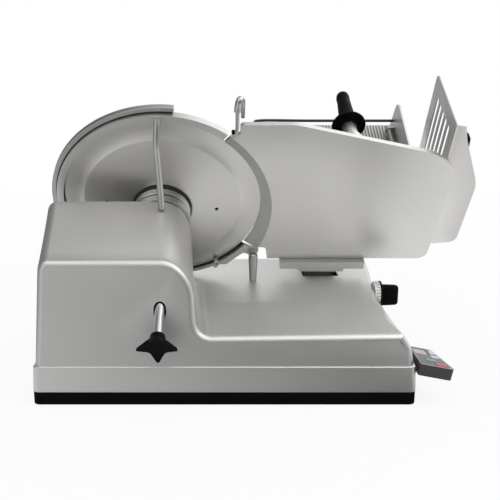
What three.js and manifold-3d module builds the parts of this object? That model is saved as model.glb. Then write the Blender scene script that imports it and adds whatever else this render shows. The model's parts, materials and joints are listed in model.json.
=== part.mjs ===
// Gravity-feed food slicer: cast aluminium base with a motor hump, a round blade tilted over the
// slice deck, a thickness gauge plate, a sliding ribbed carriage with food pusher and hand guard,
// and a small keypad console. Millimetres, +Z up, +X to the operator's end, +Y to the food side.
import * as THREE from "three";
import { mergeVertices } from "three/addons/utils/BufferGeometryUtils.js";
import Module from "manifold-3d";

const wasm = await Module();
wasm.setup();

// Driving dimensions
const BASE_LENGTH = 520;
const BASE_DEPTH = 370;
const PLINTH_BOTTOM = 3.5;
const PLINTH_TOP = 18.5;
const SKIRT_TOP = 55;
const CASTING_WALL = 5;
const GAP = 0.3;
const DECK_FRONT_Z = 94;
const DECK_CREASE_Z = 106.5;
const DECK_CREASE_Y = 125;
const DECK_REAR_Z = 116;
const RIDGE_Y = 363;
const BLADE_RADIUS = 150;
const BLADE_TILT = 32.5;
const BLADE_X = -94;
const BLADE_Y = 188;
const BLADE_Z = 247;
const BLADE_THICKNESS = 3.5;
const BLADE_DISH = 11;
const HUB_RADIUS = 43.5;
const HUB_LENGTH = 27;
const HUMP_TOP_U = 42;
const HUMP_BACK = 42;
const SPINDLE_RADIUS = 20;
const SPINDLE_BORE = 16;
const SPINDLE_END = 86;
const BELT_START = 68;
const BELT_WIDTH = 16;
const BLADE_PULLEY_RADIUS = 32;
const MOTOR_PULLEY_RADIUS = 13;
const MOTOR_X = -88;
const MOTOR_U = -52;
const MOTOR_START = 92;
const MOTOR_LENGTH = 86;
const MOTOR_RADIUS = 52;
const TIE_ROD_X = 7.5;
const TIE_ROD_U = -4;
const TIE_ROD_RADIUS = 6.5;
const KNOB_START = 252;
const RING_INNER = 151.5;
const RING_OUTER = 162;
const GAUGE_FRONT = 5;
const GAUGE_BACK = -3;
const CARRIAGE_FRONT = -10;
const CARRIAGE_REAR = -283;
const FLOOR_LEFT = 142;
const FLOOR_RIGHT = 404.7;
const FLOOR_TOP = -55;
const FLOOR_BOTTOM = -62;
const RAIL_Y = 398;
const RAIL_RADIUS = 7;
const RAIL_LOW_Z = 68;
const RAIL_HIGH_Z = 94;
const DIAL_Y = 200;
const DIAL_Z = 100;
const DIAL_SEAT_X = 238;
const PANEL_SLOPE = 11;

// Finishes
const finish = (color, roughness, metalness) => new THREE.MeshStandardMaterial({ color, roughness, metalness });
const CAST = finish(0xb4b4b2, 0.45, 0.9);
const PLATE = finish(0xc6c6c4, 0.4, 0.9);
const STEEL = finish(0xbcbcbc, 0.25, 1);
const CHROME = finish(0xd8d8d8, 0.1, 1);
const BLACK = finish(0x141414, 0.5, 0);
const RUBBER = finish(0x1c1c1c, 0.85, 0);
const WHITE = finish(0xe8e8e4, 0.5, 0);
const CHARCOAL = finish(0x35353a, 0.5, 0);
const COPPER = finish(0x9a6a48, 0.5, 0.6);
const BOARD = finish(0x2f5a3a, 0.6, 0);
const GREEN = finish(0x4c9a6a, 0.5, 0);
const RED = finish(0xc0453f, 0.5, 0);
const GREY = finish(0xd0d0cc, 0.5, 0);
const BEIGE = finish(0xcfc4b4, 0.4, 0);

// The machine group stands on z = 0; the slant group has x along the base, y up the blade's face
// and z out of that face towards the slice deck.
const slicer = new THREE.Group();
const machine = new THREE.Group();
const slant = new THREE.Group();
slant.position.set(BLADE_X, BLADE_Y, BLADE_Z);
slant.rotation.x = THREE.MathUtils.degToRad(90 + BLADE_TILT);
slant.updateMatrix();
machine.add(slant);
slicer.add(machine);

// Closed geometry to a solid: shared vertices merged, slivers dropped, faces turned outwards.
function solid(geometry) {
  const bare = geometry.index ? geometry.toNonIndexed() : geometry.clone();
  for (const name of Object.keys(bare.attributes)) if (name !== "position") bare.deleteAttribute(name);
  const merged = mergeVertices(bare, 1e-4);
  const points = merged.attributes.position.array;
  const corner = (i) => new THREE.Vector3().fromArray(points, 3 * i);
  const faces = [];
  let volume = 0;
  for (let i = 0; i < merged.index.count; i += 3) {
    const [a, b, c] = merged.index.array.slice(i, i + 3);
    if (a === b || b === c || c === a) continue;
    faces.push([a, b, c]);
    volume += corner(a).dot(corner(b).cross(corner(c)));
  }
  const triVerts = new Uint32Array(faces.flatMap(([a, b, c]) => (volume > 0 ? [a, b, c] : [a, c, b])));
  return new wasm.Manifold(new wasm.Mesh({ numProp: 3, vertProperties: new Float32Array(points), triVerts }));
}

function piece(name, body, material, parent = slant) {
  const made = (body instanceof THREE.BufferGeometry ? solid(body) : body).getMesh();
  const geometry = new THREE.BufferGeometry();
  geometry.setAttribute("position", new THREE.BufferAttribute(new Float32Array(made.vertProperties), 3));
  geometry.setIndex(new THREE.BufferAttribute(new Uint32Array(made.triVerts), 1));
  geometry.computeVertexNormals();
  const mesh = new THREE.Mesh(geometry, material);
  mesh.name = name;
  parent.add(mesh);
  return mesh;
}

const joined = (...parts) => parts.map(solid).reduce((a, b) => a.add(b));
const onSlant = (geometry) => geometry.applyMatrix4(slant.matrix);

// Block between two corners
function block([x0, y0, z0], [x1, y1, z1]) {
  const box = new THREE.BoxGeometry(x1 - x0, y1 - y0, z1 - z0);
  return box.translate((x0 + x1) / 2, (y0 + y1) / 2, (z0 + z1) / 2);
}

// Solid of revolution about local z from [radius, z] pairs; a profile off the axis closes on itself.
function turned(profile, segments = 32, x = 0, y = 0) {
  const loop = profile[0][0] > 0 ? [...profile, profile[0]] : profile;
  const points = loop.map(([r, z]) => new THREE.Vector2(r, z));
  return new THREE.LatheGeometry(points, segments).rotateX(Math.PI / 2).translate(x, y, 0);
}

const pin = (radius, z0, z1, x = 0, y = 0, segments = 24) =>
  turned([[0, z0], [radius, z0], [radius, z1], [0, z1]], segments, x, y);
const sleeve = (inner, outer, z0, z1, x = 0, y = 0, segments = 32) =>
  turned([[inner, z0], [outer, z0], [outer, z1], [inner, z1]], segments, x, y);

// Round bar along +X
const bar = (radius, x0, x1, y, z, segments = 20) =>
  pin(radius, x0, x1, 0, 0, segments).rotateY(Math.PI / 2).translate(0, y, z);

function plate(shape, z0, z1, curveSegments = 12) {
  const settings = { depth: z1 - z0, bevelEnabled: false, curveSegments };
  return new THREE.ExtrudeGeometry(shape, settings).translate(0, 0, z0);
}

const polygon = (points) => new THREE.Shape(points.map(([x, y]) => new THREE.Vector2(x, y)));

function roundedRect(x0, y0, x1, y1, r) {
  const shape = new THREE.Shape();
  shape.absarc(x1 - r, y0 + r, r, -Math.PI / 2, 0, false);
  shape.absarc(x1 - r, y1 - r, r, 0, Math.PI / 2, false);
  shape.absarc(x0 + r, y1 - r, r, Math.PI / 2, Math.PI, false);
  shape.absarc(x0 + r, y0 + r, r, Math.PI, 1.5 * Math.PI, false);
  return shape;
}

function ringSector(cx, cy, inner, outer, fromDegrees, toDegrees) {
  const a = THREE.MathUtils.degToRad(fromDegrees);
  const b = THREE.MathUtils.degToRad(toDegrees);
  const shape = new THREE.Shape();
  shape.absarc(cx, cy, outer, a, b, false);
  shape.absarc(cx, cy, inner, b, a, true);
  return shape;
}

// Bar with round ends between two points, wider at the first
function tapered([xa, ya], ra, [xb, yb], rb) {
  const along = Math.atan2(yb - ya, xb - xa);
  const lean = Math.acos((ra - rb) / Math.hypot(xb - xa, yb - ya));
  const shape = new THREE.Shape();
  shape.absarc(xa, ya, ra, along + lean, along - lean + 2 * Math.PI, false);
  shape.absarc(xb, yb, rb, along - lean, along + lean, false);
  return shape;
}

// Rod bent along a path of points
function bentRod(points, radius, steps, sides = 10) {
  const path = new THREE.CatmullRomCurve3(points.map((p) => new THREE.Vector3(...p)), false, "centripetal");
  const section = new THREE.Shape().absarc(0, 0, radius, 0, 2 * Math.PI, false);
  return new THREE.ExtrudeGeometry(section, { steps, extrudePath: path, curveSegments: sides / 2 });
}

// Skin through rings of equal point counts; each end ring is closed by a fan from its middle point.
function loft(rings, firstMiddle, lastMiddle) {
  const n = rings[0].length;
  const last = (rings.length - 1) * n;
  const points = [...rings.flat(), firstMiddle, lastMiddle];
  const index = [];
  for (let i = 0; i < n; i++) {
    const j = (i + 1) % n;
    for (let k = 0; k < last; k += n) index.push(k + i, k + j, k + n + i, k + j, k + n + j, k + n + i);
    index.push(points.length - 2, j, i, points.length - 1, last + i, last + j);
  }
  const geometry = new THREE.BufferGeometry().setFromPoints(points);
  geometry.setIndex(index);
  return geometry;
}

const between = (table, at) => {
  const k = Math.max(1, table.findIndex(([y]) => y >= at));
  const [[y0, v0], [y1, v1]] = [table[k - 1], table[k]];
  return v0 + ((v1 - v0) * (at - y0)) / (y1 - y0);
};

// Base casting. Its cross-section runs up the left wall, over the hump, down the round right
// side of the hump with a fillet to the slice deck, and down the sloping right shoulder.
const SIN = Math.sin(THREE.MathUtils.degToRad(BLADE_TILT));
const COS = Math.cos(THREE.MathUtils.degToRad(BLADE_TILT));
const HUMP_TOP_Y = BLADE_Y - HUMP_TOP_U * SIN - HUMP_BACK * COS;
const HUMP_TOP_Z = BLADE_Z + HUMP_TOP_U * COS - HUMP_BACK * SIN;
const SECTION_FOOT_Z = SKIRT_TOP - 4;
const SKIRT_TOP_INSET = 2.4;
const LEDGE = 1.4;
const SHELL_HALF = BASE_LENGTH / 2 - SKIRT_TOP_INSET - LEDGE;
const deckHeights = [
  [-20, DECK_FRONT_Z], [8, DECK_FRONT_Z], [DECK_CREASE_Y, DECK_CREASE_Z], [RIDGE_Y, DECK_REAR_Z],
];
const deckEnds = [[-20, 238], [8, 237], [55, 229], [95, 231], [124, 226], [210, 236], [331, 250], [400, 254]];
const DECK_SIDE_RISE = 0.012;
const HUMP_WALL_X = -39;
const deckAt = (x, y) => between(deckHeights, y) + DECK_SIDE_RISE * (x - HUMP_WALL_X - 21);
const DECK_REAR_SLOPE = (DECK_REAR_Z - DECK_CREASE_Z) / (RIDGE_Y - DECK_CREASE_Y);
const HUMP_END_Y = (HUMP_TOP_Z + (HUMP_TOP_Y * COS) / SIN - DECK_CREASE_Z + DECK_REAR_SLOPE * DECK_CREASE_Y)
  / (COS / SIN + DECK_REAR_SLOPE);

function humpHeight(y) {
  const front = HUMP_TOP_Z - (HUMP_TOP_Y - y) * (SIN / COS);
  const back = HUMP_TOP_Z - (y - HUMP_TOP_Y) * (COS / SIN);
  return Math.max(0, Math.min(front, back) - between(deckHeights, y));
}

function castingSection(y, arcStep = 18) {
  const deck = between(deckHeights, y);
  const rise = humpHeight(y);
  const top = deck + rise;
  const end = between(deckEnds, y);
  const leftAt = (z) => -SHELL_HALF + 12 * Math.min(1, Math.max(0, z - SKIRT_TOP) / 135);
  const corner = 12;
  const shoulder = Math.min(54, 0.62 * rise);
  const fillet = Math.min(20, 0.35 * rise);
  const wallX = HUMP_WALL_X;
  const points = [[leftAt(SECTION_FOOT_Z), SECTION_FOOT_Z], [leftAt(top - corner), top - corner]];
  for (const a of [30, 90]) {
    const t = THREE.MathUtils.degToRad(a);
    points.push([leftAt(top) + corner * (1 - Math.cos(t)), top - corner * (1 - Math.sin(t))]);
  }
  for (let a = 90; a >= 0; a -= arcStep) {
    const t = THREE.MathUtils.degToRad(a);
    points.push([wallX - 1 - 46 * (1 - Math.cos(t)), top - shoulder * (1 - Math.sin(t))]);
  }
  for (let a = 0; a <= 90; a += 1.25 * arcStep) {
    const t = THREE.MathUtils.degToRad(a);
    points.push([wallX + 21 * (1 - Math.cos(t)), deck + fillet * (1 - Math.sin(t))]);
  }
  for (const x of [60, 150, end - 5]) points.push([x, deckAt(x, y)]);
  const edge = deckAt(end, y);
  points.push([end + 1.5, edge - 1.5], [end + 3.5, edge - 5], [252.6, Math.min(79, edge - 14)]);
  points.push([255, Math.min(66, edge - 26)], [SHELL_HALF, SKIRT_TOP]);
  points.push([SHELL_HALF, SECTION_FOOT_Z]);
  return points;
}

// Moves a closed section inwards by a wall thickness.
function drawnIn(points, wall) {
  return points.map(([x, z], i) => {
    const [px, pz] = points[(i + points.length - 1) % points.length];
    const [nx, nz] = points[(i + 1) % points.length];
    const before = new THREE.Vector2(x - px, z - pz).normalize();
    const after = new THREE.Vector2(nx - x, nz - z).normalize();
    const normal = new THREE.Vector2(before.y + after.y, -before.x - after.x).normalize();
    const stretch = Math.max(0.5, normal.dot(new THREE.Vector2(after.y, -after.x)));
    return [x + (normal.x * wall) / stretch, z + (normal.y * wall) / stretch];
  });
}

const FRONT_LEAN = 18.5 / 135;
const frontAt = (z) => SKIRT_TOP_INSET + LEDGE + (z - SKIRT_TOP) * FRONT_LEAN;
const along = (y) => [y, y];
const outsideStations = [55, 95, DECK_CREASE_Y, HUMP_TOP_Y, 210, HUMP_END_Y, 331].map(along);
const insideStations = [[60, 60], [HUMP_TOP_Y - 6, HUMP_TOP_Y], [HUMP_END_Y - 6, HUMP_END_Y]];

function castingLoft(wall) {
  const rings = [];
  const ring = (points, yAt) => rings.push(points.map(([x, z]) => new THREE.Vector3(x, yAt(z), z)));
  const section = (y) => castingSection(y, wall ? 36 : 18);
  const edges = wall ? [[wall, wall]] : [[5, 0], [1.5, 1.5], [0, 5]];
  for (const [inset, back] of edges) ring(drawnIn(section(20), inset), (z) => frontAt(z) + back);
  const stations = wall ? insideStations : outsideStations;
  for (const [y, sectionY] of stations) ring(drawnIn(section(sectionY), wall), () => y);
  const rear = section(RIDGE_Y);
  const foot = BASE_DEPTH - SKIRT_TOP_INSET - LEDGE;
  const ends = wall ? [[wall, RIDGE_Y]] : [[0, RIDGE_Y - 2], [1.5, RIDGE_Y + 1], [4, foot]];
  for (const [inset, y] of ends) ring(drawnIn(rear, inset), () => y);
  if (wall) {
    for (const p of rings.flat().filter(({ z }) => z < SECTION_FOOT_Z + 8)) {
      p.x = Math.sign(p.x) * (SHELL_HALF - wall);
      p.z = SECTION_FOOT_Z - 8;
    }
  }
  const middle = (y) => new THREE.Vector3(-60, y, 80);
  return solid(loft(rings, middle(frontAt(80) + wall), middle(rings.at(-1)[0].y)));
}

// Rounded-rectangle body over the base's plan from [inset, corner radius, height] levels
function rim(levels) {
  const half = BASE_LENGTH / 2;
  const ring = ([inset, radius, z]) => {
    const shape = roundedRect(inset - half, inset, half - inset, BASE_DEPTH - inset, radius);
    const points = shape.getPoints(2).map((p) => new THREE.Vector3(p.x, p.y, z));
    return points.filter((p, i) => p.distanceTo(points[(i + 1) % points.length]) > 1e-6);
  };
  const middle = ([, , z]) => new THREE.Vector3(0, BASE_DEPTH / 2, z);
  return loft(levels.map(ring), middle(levels[0]), middle(levels.at(-1)));
}

const POST_X = 48;
const POST_Y = 232;
const CORD_GLAND_X = -190;
const CORD_GLAND_Z = 40;
const MOTOR_PILLAR_CIRCLE = 43;
const motorPillarAngles = [140, 211, 281];
const SLIVER = 0.03;

function motorPillar(angle) {
  const t = THREE.MathUtils.degToRad(angle);
  const x = MOTOR_X + MOTOR_PILLAR_CIRCLE * Math.cos(t);
  const u = MOTOR_U + MOTOR_PILLAR_CIRCLE * Math.sin(t);
  return pin(7, HUMP_BACK + 2, MOTOR_START - GAP, x, u, 10);
}

// Hollow casting on its skirt: the cavity leaves a boss behind the dial's round seat, and three
// pillars carry the motor flange.
function baseHousing() {
  const outerSkirt = rim([
    [0, 8, PLINTH_TOP + GAP], [1.3, 8, SKIRT_TOP - 1.2], [SKIRT_TOP_INSET, 7, SKIRT_TOP],
  ]);
  const skirtHollow = rim([[CASTING_WALL + 1, 5, PLINTH_TOP - 5], [CASTING_WALL + 4.5, 5, SKIRT_TOP - 5]]);
  const dialBoss = bar(27, 222, 262, DIAL_Y, DIAL_Z, 20);
  const cavity = castingLoft(CASTING_WALL).subtract(solid(dialBoss));
  let shell = castingLoft(0).add(solid(outerSkirt)).subtract(cavity).subtract(solid(skirtHollow));
  for (const angle of motorPillarAngles) shell = shell.add(solid(onSlant(motorPillar(angle))));
  const cutters = [
    onSlant(pin(37.9, HUMP_BACK - 30, HUMP_BACK + 30, 0, 0, 28)),
    onSlant(plate(tapered([TIE_ROD_X, TIE_ROD_U], 8.5, [TIE_ROD_X, TIE_ROD_U - 3], 8.4), 180, 240, 5)),
    onSlant(block([226, -200, -9], [285, -105, 18])),
    bar(21.5, DIAL_SEAT_X, 300, DIAL_Y, DIAL_Z, 28),
    bar(5.6, 200, 260, DIAL_Y, DIAL_Z, 14),
    pin(5.3, 100, 130, POST_X, POST_Y, 12),
    bar(9.3, 0, 30, 0, 0, 16).rotateZ(Math.PI / 2).translate(CORD_GLAND_X, BASE_DEPTH - 20, CORD_GLAND_Z),
  ];
  for (const cutter of cutters) shell = shell.subtract(solid(cutter));
  return shell.simplify(SLIVER);
}

piece("base_housing", baseHousing(), CAST, machine);

// Black plinth tray that closes the casting from below, with standoffs for the circuit board
const footPlaces = {
  front_left: [-215, 40], front_right: [215, 40], rear_left: [-215, 330], rear_right: [215, 330],
};
const PLINTH_FLOOR = 3;
const BOARD_CORNERS = [[120, 62], [210, 62], [120, 122], [210, 122]];
const BOARD_Z = 24;

function basePlinth() {
  const half = BASE_LENGTH / 2;
  const outside = rim([[3.5, 8, PLINTH_BOTTOM], [0.4, 8, PLINTH_BOTTOM + 4], [0.4, 8, PLINTH_TOP]]);
  const floor = PLINTH_BOTTOM + PLINTH_FLOOR;
  const hollow = plate(roundedRect(-half + 5, 5, half - 5, BASE_DEPTH - 5, 5), floor, 30, 2);
  const standoff = ([x, y]) => pin(5, PLINTH_BOTTOM + 1, BOARD_Z - GAP, x, y, 8);
  let tray = solid(outside).subtract(solid(hollow));
  for (const corner of BOARD_CORNERS) tray = tray.add(solid(standoff(corner)));
  for (const [x, y] of Object.values(footPlaces)) tray = tray.subtract(solid(pin(6, 0, 12, x, y, 14)));
  return tray;
}

piece("base_plinth", basePlinth(), BLACK, machine);

const FOOT_RIM = PLINTH_BOTTOM - GAP;
const FOOT_HEAD = PLINTH_BOTTOM + PLINTH_FLOOR + GAP;
for (const [place, [x, y]] of Object.entries(footPlaces)) {
  const profile = [
    [0, 0], [17, 0], [19, FOOT_RIM], [5.6, FOOT_RIM], [5.6, FOOT_HEAD], [8.5, FOOT_HEAD], [6, 11], [0, 11],
  ];
  piece(`foot_${place}`, turned(profile, 14, x, y), RUBBER, machine);
}

const glandProfile = [[4.5, -9], [8.9, -9], [8.9, 6], [13, 6.4], [12, 11], [4.5, 11]];
const gland = turned(glandProfile, 14).rotateX(-Math.PI / 2);
piece("cord_gland", gland.translate(CORD_GLAND_X, BASE_DEPTH - 4, CORD_GLAND_Z), BLACK, machine);

// Circuit board on the plinth's standoffs
const boardPlan = roundedRect(113, 55, 217, 129, 3);
piece("control_board", plate(boardPlan, BOARD_Z, BOARD_Z + 1.8, 1), BOARD, machine);

// Drive: motor on the pillars, poly-V belt, hollow spindle in two ball bearings
const MOTOR_END = MOTOR_START + MOTOR_LENGTH;
const ROTOR_RADIUS = 30;
const MOTOR_SHAFT_RADIUS = 6;
const statorProfile = [
  [MOTOR_SHAFT_RADIUS + 1, MOTOR_START], [MOTOR_RADIUS, MOTOR_START], [MOTOR_RADIUS, MOTOR_START + 6],
  [MOTOR_RADIUS - 3, MOTOR_START + 8], [MOTOR_RADIUS - 3, MOTOR_END - 8], [MOTOR_RADIUS - 9, MOTOR_END],
  [MOTOR_SHAFT_RADIUS + 1, MOTOR_END], [MOTOR_SHAFT_RADIUS + 1, MOTOR_END - 10],
  [ROTOR_RADIUS + 1, MOTOR_END - 10], [ROTOR_RADIUS + 1, MOTOR_START + 10],
  [MOTOR_SHAFT_RADIUS + 1, MOTOR_START + 10],
];
piece("motor_stator", turned(statorProfile, 16, MOTOR_X, MOTOR_U), CHARCOAL);
const rotorProfile = [
  [0, BELT_START - 3], [MOTOR_SHAFT_RADIUS, BELT_START - 3], [MOTOR_SHAFT_RADIUS, MOTOR_START + 12],
  [ROTOR_RADIUS, MOTOR_START + 12], [ROTOR_RADIUS, MOTOR_END - 12], [MOTOR_SHAFT_RADIUS, MOTOR_END - 12],
  [MOTOR_SHAFT_RADIUS, MOTOR_END + 5], [0, MOTOR_END + 5],
];
piece("motor_rotor", turned(rotorProfile, 16, MOTOR_X, MOTOR_U), COPPER);

// Pulley rim with V grooves
function pulleyProfile(bore, radius) {
  const profile = [[bore, BELT_START]];
  const grooves = 2;
  const pitch = BELT_WIDTH / grooves;
  for (let i = 0; i < grooves; i++) {
    profile.push([radius, BELT_START + i * pitch], [radius - 2.2, BELT_START + (i + 0.5) * pitch]);
  }
  profile.push([radius, BELT_START + BELT_WIDTH], [bore, BELT_START + BELT_WIDTH]);
  return profile;
}
const motorPulleyProfile = pulleyProfile(MOTOR_SHAFT_RADIUS + GAP, MOTOR_PULLEY_RADIUS);
piece("motor_pulley", turned(motorPulleyProfile, 14, MOTOR_X, MOTOR_U), STEEL);
piece("blade_pulley", turned(pulleyProfile(SPINDLE_RADIUS + GAP, BLADE_PULLEY_RADIUS), 20), PLATE);

function beltPlan(offset) {
  return tapered([0, 0], BLADE_PULLEY_RADIUS + offset, [MOTOR_X, MOTOR_U], MOTOR_PULLEY_RADIUS + offset);
}
const beltShape = beltPlan(3.6);
beltShape.holes.push(beltPlan(0.8));
piece("drive_belt", plate(beltShape, BELT_START + 0.5, BELT_START + BELT_WIDTH - 0.5, 8), RUBBER);

const BEARING_RADIUS = 34;
const BEARING_WIDTH = 14;
const bearingStarts = { front: HUB_LENGTH + 5.5, rear: HUB_LENGTH + 22 };
const HOUSING_END = HUB_LENGTH + 38;
const housingProfile = [
  [BEARING_RADIUS + GAP, HUB_LENGTH + 4], [SPINDLE_RADIUS + 1.5, HUB_LENGTH + 4],
  [SPINDLE_RADIUS + 1.5, HUB_LENGTH + 2.5],
  [HUB_RADIUS - 1, HUB_LENGTH + 2.5], [HUB_RADIUS, HUB_LENGTH + 3.5], [HUB_RADIUS, HUMP_BACK - GAP],
  [37.5, HUMP_BACK - GAP], [37.5, HOUSING_END], [BEARING_RADIUS + GAP, HOUSING_END],
];
piece("bearing_housing", turned(housingProfile, 24), CAST);
for (const [place, start] of Object.entries(bearingStarts)) {
  const race = sleeve(SPINDLE_RADIUS + GAP, BEARING_RADIUS, start, start + BEARING_WIDTH, 0, 0, 24);
  piece(`spindle_bearing_${place}`, race, STEEL);
}
piece("spindle", sleeve(SPINDLE_BORE, SPINDLE_RADIUS, BLADE_DISH - BLADE_THICKNESS + GAP, SPINDLE_END, 0, 0, 24), STEEL);

// Blade: dished towards its hub, with a ground bevel to the cutting edge and three countersunk bolts
const BOLT_CIRCLE = 31;
const boltPlaces = [90, 210, 330].map((a) => {
  const t = THREE.MathUtils.degToRad(a);
  return [BOLT_CIRCLE * Math.cos(t), BOLT_CIRCLE * Math.sin(t)];
});
const SIGHT_HOLE_X = 83;
const SIGHT_HOLE_U = -7;
const BEVEL_RADIUS = 119;
const BLADE_SEAT_RADIUS = 47;
const HUB_NECK = 41;
const onSeat = (profile) => profile.map(([r, z]) => [r, z + BLADE_DISH]);

function blade() {
  const back = -BLADE_THICKNESS;
  const seatBack = BLADE_DISH - BLADE_THICKNESS;
  const profile = [
    [SPINDLE_RADIUS + GAP, seatBack], [BLADE_SEAT_RADIUS - 1, seatBack], [BEVEL_RADIUS - 1, back],
    [BLADE_RADIUS - 1, back], [BLADE_RADIUS, -3.2], [BLADE_RADIUS - 2.5, -2.9], [BEVEL_RADIUS + 8, -0.75],
    [BEVEL_RADIUS, 0], [BLADE_SEAT_RADIUS, BLADE_DISH], [SPINDLE_RADIUS + GAP, BLADE_DISH],
  ];
  let disc = solid(turned(profile, 52));
  const countersink = onSeat([[0, -4], [6.4, -4], [3.4, -0.9], [3.4, 1], [0, 1]]);
  for (const [x, u] of boltPlaces) disc = disc.subtract(solid(turned(countersink, 8, x, u)));
  const sightHole = (side) => pin(2, -5, BLADE_DISH, side * SIGHT_HOLE_X, side * SIGHT_HOLE_U, 8);
  for (const side of [-1, 1]) disc = disc.subtract(solid(sightHole(side)));
  return disc;
}
piece("blade", blade(), STEEL);

function bladeHub() {
  const foot = BLADE_DISH + GAP;
  const profile = [
    [SPINDLE_RADIUS + GAP, foot], [HUB_NECK, foot], [HUB_NECK, foot + 4.4], [HUB_RADIUS, foot + 5],
    [HUB_RADIUS, HUB_LENGTH - 1], [HUB_RADIUS - 1, HUB_LENGTH], [SPINDLE_RADIUS + GAP, HUB_LENGTH],
  ];
  const boltHole = ([x, u]) => solid(pin(3.4, BLADE_DISH - 1, BLADE_DISH + 13, x, u, 8));
  return boltPlaces.reduce((hub, place) => hub.subtract(boltHole(place)), solid(turned(profile, 24)));
}
piece("blade_hub", bladeHub(), PLATE);
boltPlaces.forEach(([x, u], i) => {
  const profile = onSeat([[0, -3.4], [5.5, -3.4], [3, -1], [3, 12], [0, 12]]);
  piece(`blade_bolt_${i + 1}`, turned(profile, 8, x, u), STEEL);
});

// Cover plate over the food side of the blade, pulled home by the tie rod through the spindle
const coverProfile = [[0, -8.2], [30, -8.2], [40, -6.4], [133, -6.4], [132, -4.6], [0, -4.6]];
const coverBore = pin(TIE_ROD_RADIUS + GAP, -9, 0, TIE_ROD_X, TIE_ROD_U);
piece("blade_cover", solid(turned(coverProfile, 32)).subtract(solid(coverBore)), PLATE);
piece("tie_rod", pin(TIE_ROD_RADIUS, -9.2, KNOB_START + 14, TIE_ROD_X, TIE_ROD_U), CHROME);

// Cross knob with four lobes on a round collar
function starKnob() {
  const shape = new THREE.Shape();
  const arms = 4;
  const corners = [[26, -2.6], [26, 2.6], [11.6, 7], [9.4, 9.4], [7, 11.6]];
  for (let i = 0; i < arms; i++) {
    const a = (2 * Math.PI * i) / arms;
    const turn = ([x, y]) => [x * Math.cos(a) - y * Math.sin(a), x * Math.sin(a) + y * Math.cos(a)];
    corners.map(turn).forEach((at, k) => shape[i || k ? "lineTo" : "moveTo"](...at));
  }
  const lobesBody = new THREE.ExtrudeGeometry(shape, {
    depth: 9, bevelEnabled: true, bevelThickness: 2, bevelSize: 1.6, bevelOffset: -1.6, bevelSegments: 1,
  }).translate(0, 0, KNOB_START + 14);
  const collarEnd = KNOB_START + 12;
  const collar = turned([[0, KNOB_START], [10, KNOB_START], [12.5, collarEnd], [0, collarEnd]], 14);
  const neck = pin(12, KNOB_START + 6, KNOB_START + 14, 0, 0, 14);
  const bore = pin(TIE_ROD_RADIUS + GAP, KNOB_START - 1, KNOB_START + 14.4, 0, 0, 16);
  return joined(lobesBody, collar, neck).subtract(solid(bore)).translate([TIE_ROD_X, TIE_ROD_U, 0]);
}
piece("star_knob", starKnob(), BLACK);

// Blade guard: ring with an open cutting sector, its lower arm and post, strut and outer band
const RING_X = 2;
const RING_U = 1;

function guardRing() {
  const lip = plate(ringSector(RING_X, RING_U, RING_INNER, RING_OUTER, 53, 240), 0.6, 3.2, 13);
  const wall = plate(ringSector(RING_X, RING_U, RING_OUTER - 4, RING_OUTER, 53, 240), -8, 1, 13);
  const lowLip = plate(ringSector(RING_X, RING_U, RING_INNER, RING_OUTER - 5, 236, 305), 0.6, 3.2, 5);
  const strutTab = plate(ringSector(RING_X, RING_U, RING_INNER - 4, RING_INNER + 3, 78, 104), 0.6, 3.2, 3);
  const arm = polygon([[84.8, -126.5], [88, -131.5], [98.5, -131], [107.6, -122], [115, -114], [127, -103],
    [136, -108.5], [147, -108.5], [151, -99], [150, -93.4], [142.5, -93.4], [128, -85.4],
    [123.4, -90.5], [113.2, -102.7], [99.7, -115.4]]);
  const postLug = pin(5, 0.6, 9, POST_X - BLADE_X, -103, 14);
  return joined(lip, wall, lowLip, strutTab, plate(arm, 0.6, 5), postLug);
}
piece("guard_ring", guardRing(), CAST);
const strutPath = [
  [4.5, 44, 61], [2.5, 85, 45.5], [0.5, 122, 32], [0, 130, 28], [0.6, 152, 11.5], [0.8, 156, 8.8],
];
const strutFoot = turned([[0, 0], [6.8, 0], [6, 2.5], [0, 2.5]], 14).rotateX(-Math.PI / 2);
strutFoot.translate(4.5, HUMP_TOP_U + 0.6, 61);
piece("guard_strut", joined(bentRod(strutPath, 4.6, 9, 8), strutFoot), STEEL);

function guardBand() {
  const band = plate(ringSector(4, 0, RING_OUTER + 3.5, RING_OUTER + 10, 83, 184), -12, -3, 12);
  const tab = (a) => plate(ringSector(RING_X, RING_U, RING_OUTER + GAP, RING_OUTER + 6, a, a + 5), -8, -4, 1);
  return joined(band, ...[92, 128, 166].map(tab));
}
piece("guard_band", guardBand(), CAST);

const POST_TOP = 150;
const POST_FOOT = deckAt(POST_X, POST_Y) + 0.8;
const postProfile = [[0, 104], [4.8, 104], [4.8, POST_FOOT], [5.6, POST_FOOT],
  [7.4, POST_TOP - 9], [7.4, POST_TOP - 2], [6, POST_TOP], [0, POST_TOP]];
piece("guard_post", turned(postProfile, 16, POST_X, POST_Y), STEEL, machine);

const hookPath = [
  [103, 130.5, 6.6], [109, 133, 6.6], [111.2, 139, 6], [112, 150, 5.5], [112, 174, 5], [113, 183, 2],
  [116.5, 186, -4], [119.5, 180, -9], [120, 166, -11], [120, 150, -12],
];
const hookCap = bentRod([[112, 171, 5.2], [112.6, 179, 4], [114.2, 184.5, 0], [116.6, 185.5, -4]], 5, 5, 8);
piece("guard_hook", joined(bentRod(hookPath, 2.8, 14, 6), hookCap), STEEL);

// Gauge plate with its bevelled hollow beside the blade, and the bracket that carries it
const BLADE_CLEARANCE = 1.2;

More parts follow.
